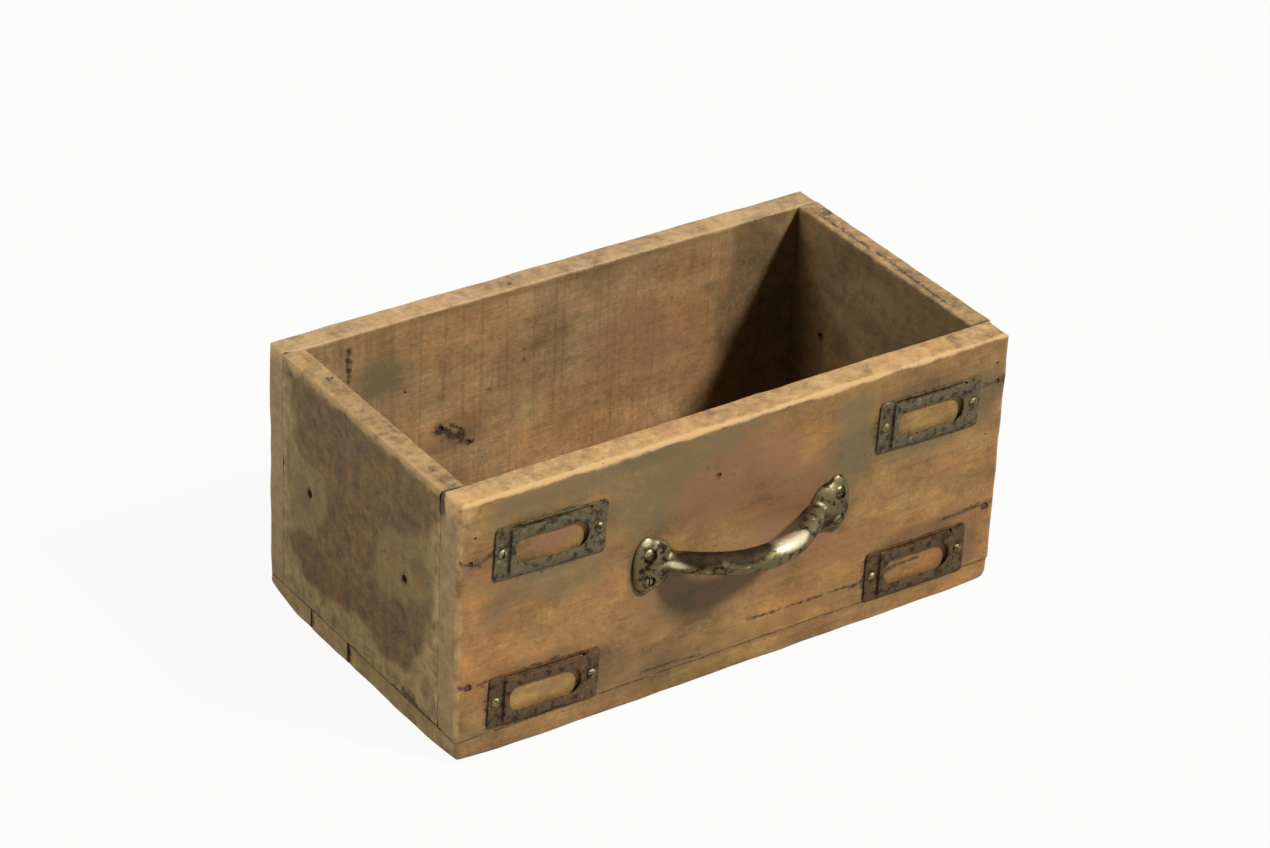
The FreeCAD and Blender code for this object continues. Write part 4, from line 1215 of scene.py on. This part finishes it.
# %% Nails
def nail(low, high):
    """A rusted nail that fills its CAD nail's box. Only the back board's nails have their head at +y."""
    size = high - low
    axis = max(range(3), key=lambda i: size[i])
    middle = (low + high) / 2
    outward = 1 if axis == 1 and middle.y > 1 else -1
    top = middle.copy()
    top[axis] = low[axis] if outward < 0 else high[axis]
    toward = Vector([float(i == axis) * -outward for i in range(3)])
    length = size[axis]
    made = lathe([(0.25, 0), (0.15, 1.4), (0.3, 2.6), (0.8, 3.15), (1.2, 3.0), (1.25, 1.3),
                  (length - 4, 1.2), (length, 0.4), (length, 0)], top, toward)
    for v in made.verts:
        v.co += push(v.co, 9, 1.7, 0.22)
    return as_tool(made)


for node in sorted(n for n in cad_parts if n.endswith("_nails")):
    join("rusted_" + node, [nail(*pair) for pair in fixings(node)], RUSTED_IRON, [], node)

# %% [markdown]
# ## Label holders
#
# Each holder was pressed from brass sheet: two flat ears are screwed down, and between them a frame stands
# off the wood so that a paper label slips in behind it from the top. Folding one sheet in the computer is
# fiddly, so rounded plates are joined and cut, which leaves walls as thin as the sheet, and a small bevel
# takes the edge off. Each leans a little, as it was screwed on.

# %% Label holders
EAR = 29.5  # mm from the middle of a holder to the screw in each ear


def plate(low, high, corner, steps=6):
    """A flat plate whose four corners, seen from the front, are rounded."""
    made = box_mesh(Vector(low), Vector(high))
    upright = [e for e in made.edges if abs(e.verts[0].co.y - e.verts[1].co.y) > 1e-4]
    bmesh.ops.bevel(made, geom=upright, offset=corner, segments=steps, profile=0.5, affect="EDGES",
                    material=-1)
    return as_tool(made)


def pressed_frame():
    """A holder that lies round the middle of the world, its back on the plane y = 0."""
    holder = plate((-34, -0.8, -15.5), (34, 0, 15.5), 2.5)
    carve(holder, [plate((-25, -2.4, -13.5), (25, -0.1, 13.5), 1.2)], "UNION")
    carve(holder, [plate((-24.2, -1.6, -12.7), (24.2, 1, 14.5), 0.5)])
    carve(holder, [plate((-22, -4, -8), (22, 1, 8), 7.0, 10)])
    for ear in (-EAR, EAR):
        carve(holder, [as_tool(lathe([(-3, 0), (-3, 1.5), (2, 1.5), (2, 0)], (ear, 0, 0), INWARD))])
    soft = holder.modifiers.new("soft", "BEVEL")
    soft.width, soft.segments, soft.limit_method, soft.angle_limit = 0.3 * MM, 2, "ANGLE", math.radians(40)
    applied(holder)
    return holder


def label_holder(which, finish, lean, turns):
    """A pressed card frame with two ears, and its two screws, in place of their CAD nodes."""
    low, high = node_box(f"{which}_label_holder")
    centre = Vector(((low.x + high.x) / 2, FRONT, (low.z + high.z) / 2))
    place = Matrix.Translation(centre) @ Matrix.Rotation(math.radians(lean), 4, "Y")
    holder = pressed_frame()
    made = bmesh.new()
    made.from_mesh(holder.data)
    bpy.data.meshes.remove(holder.data)
    bmesh.ops.triangulate(made, faces=made.faces)
    bmesh.ops.scale(made, vec=(1 / MM,) * 3, verts=made.verts)
    bmesh.ops.transform(made, matrix=place, verts=made.verts)
    holder = finished(f"pressed_{which}_label_holder", made, finish, f"{which}_label_holder")
    # Painted shade: the tarnish lines at -26 and 24 darken the frame's left and right edges, where the raised
    # frame shades the ear and its window.
    mark_metal(holder, [(name, centre + Vector((across, -1, up)), radii, strength)
                        for name, across, up, radii, strength in (
        ("rubbed_and_highlight", 30, 6, (5, 3, 10), 0.5), ("tarnish_and_shade", -26, 0, (2.5, 3, 15), 0.8),
        ("tarnish_and_shade", 24, 0, (2.5, 3, 15), 0.6))])
    smooth(holder, 30)
    seats = [place @ Vector((ear, -0.8, 0)) for ear in (-EAR, EAR)]
    pins = [screw(seat, 2.8, 1.4, 1.3, 12, 0.7, 0.7, turned) for seat, turned in zip(seats, turns)]
    join(f"{which}_ear_screws", pins, SCREW_BRASS, [("tarnish_and_shade", seat, (4, 3, 4), 0.35) for seat in seats],
         f"{which}_label_screws")


label_holder("upper_left", GREEN_BRASS, 2.3, (80, 20))
label_holder("upper_right", GREEN_BRASS, 1.6, (150, 60))
label_holder("lower_left", BROWN_BRASS, 2.3, (120, 5))
label_holder("lower_right", BROWN_BRASS, 0.5, (35, 130))

# %% [markdown]
# ## Sizes
#
# The dressed drawer must stay inside the box of its CAD model, so its size is printed.

# %% Write the sizes and finish
low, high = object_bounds()
print("dressed", [round((b - a) / MM, 1) for a, b in zip(low, high)], "mm")
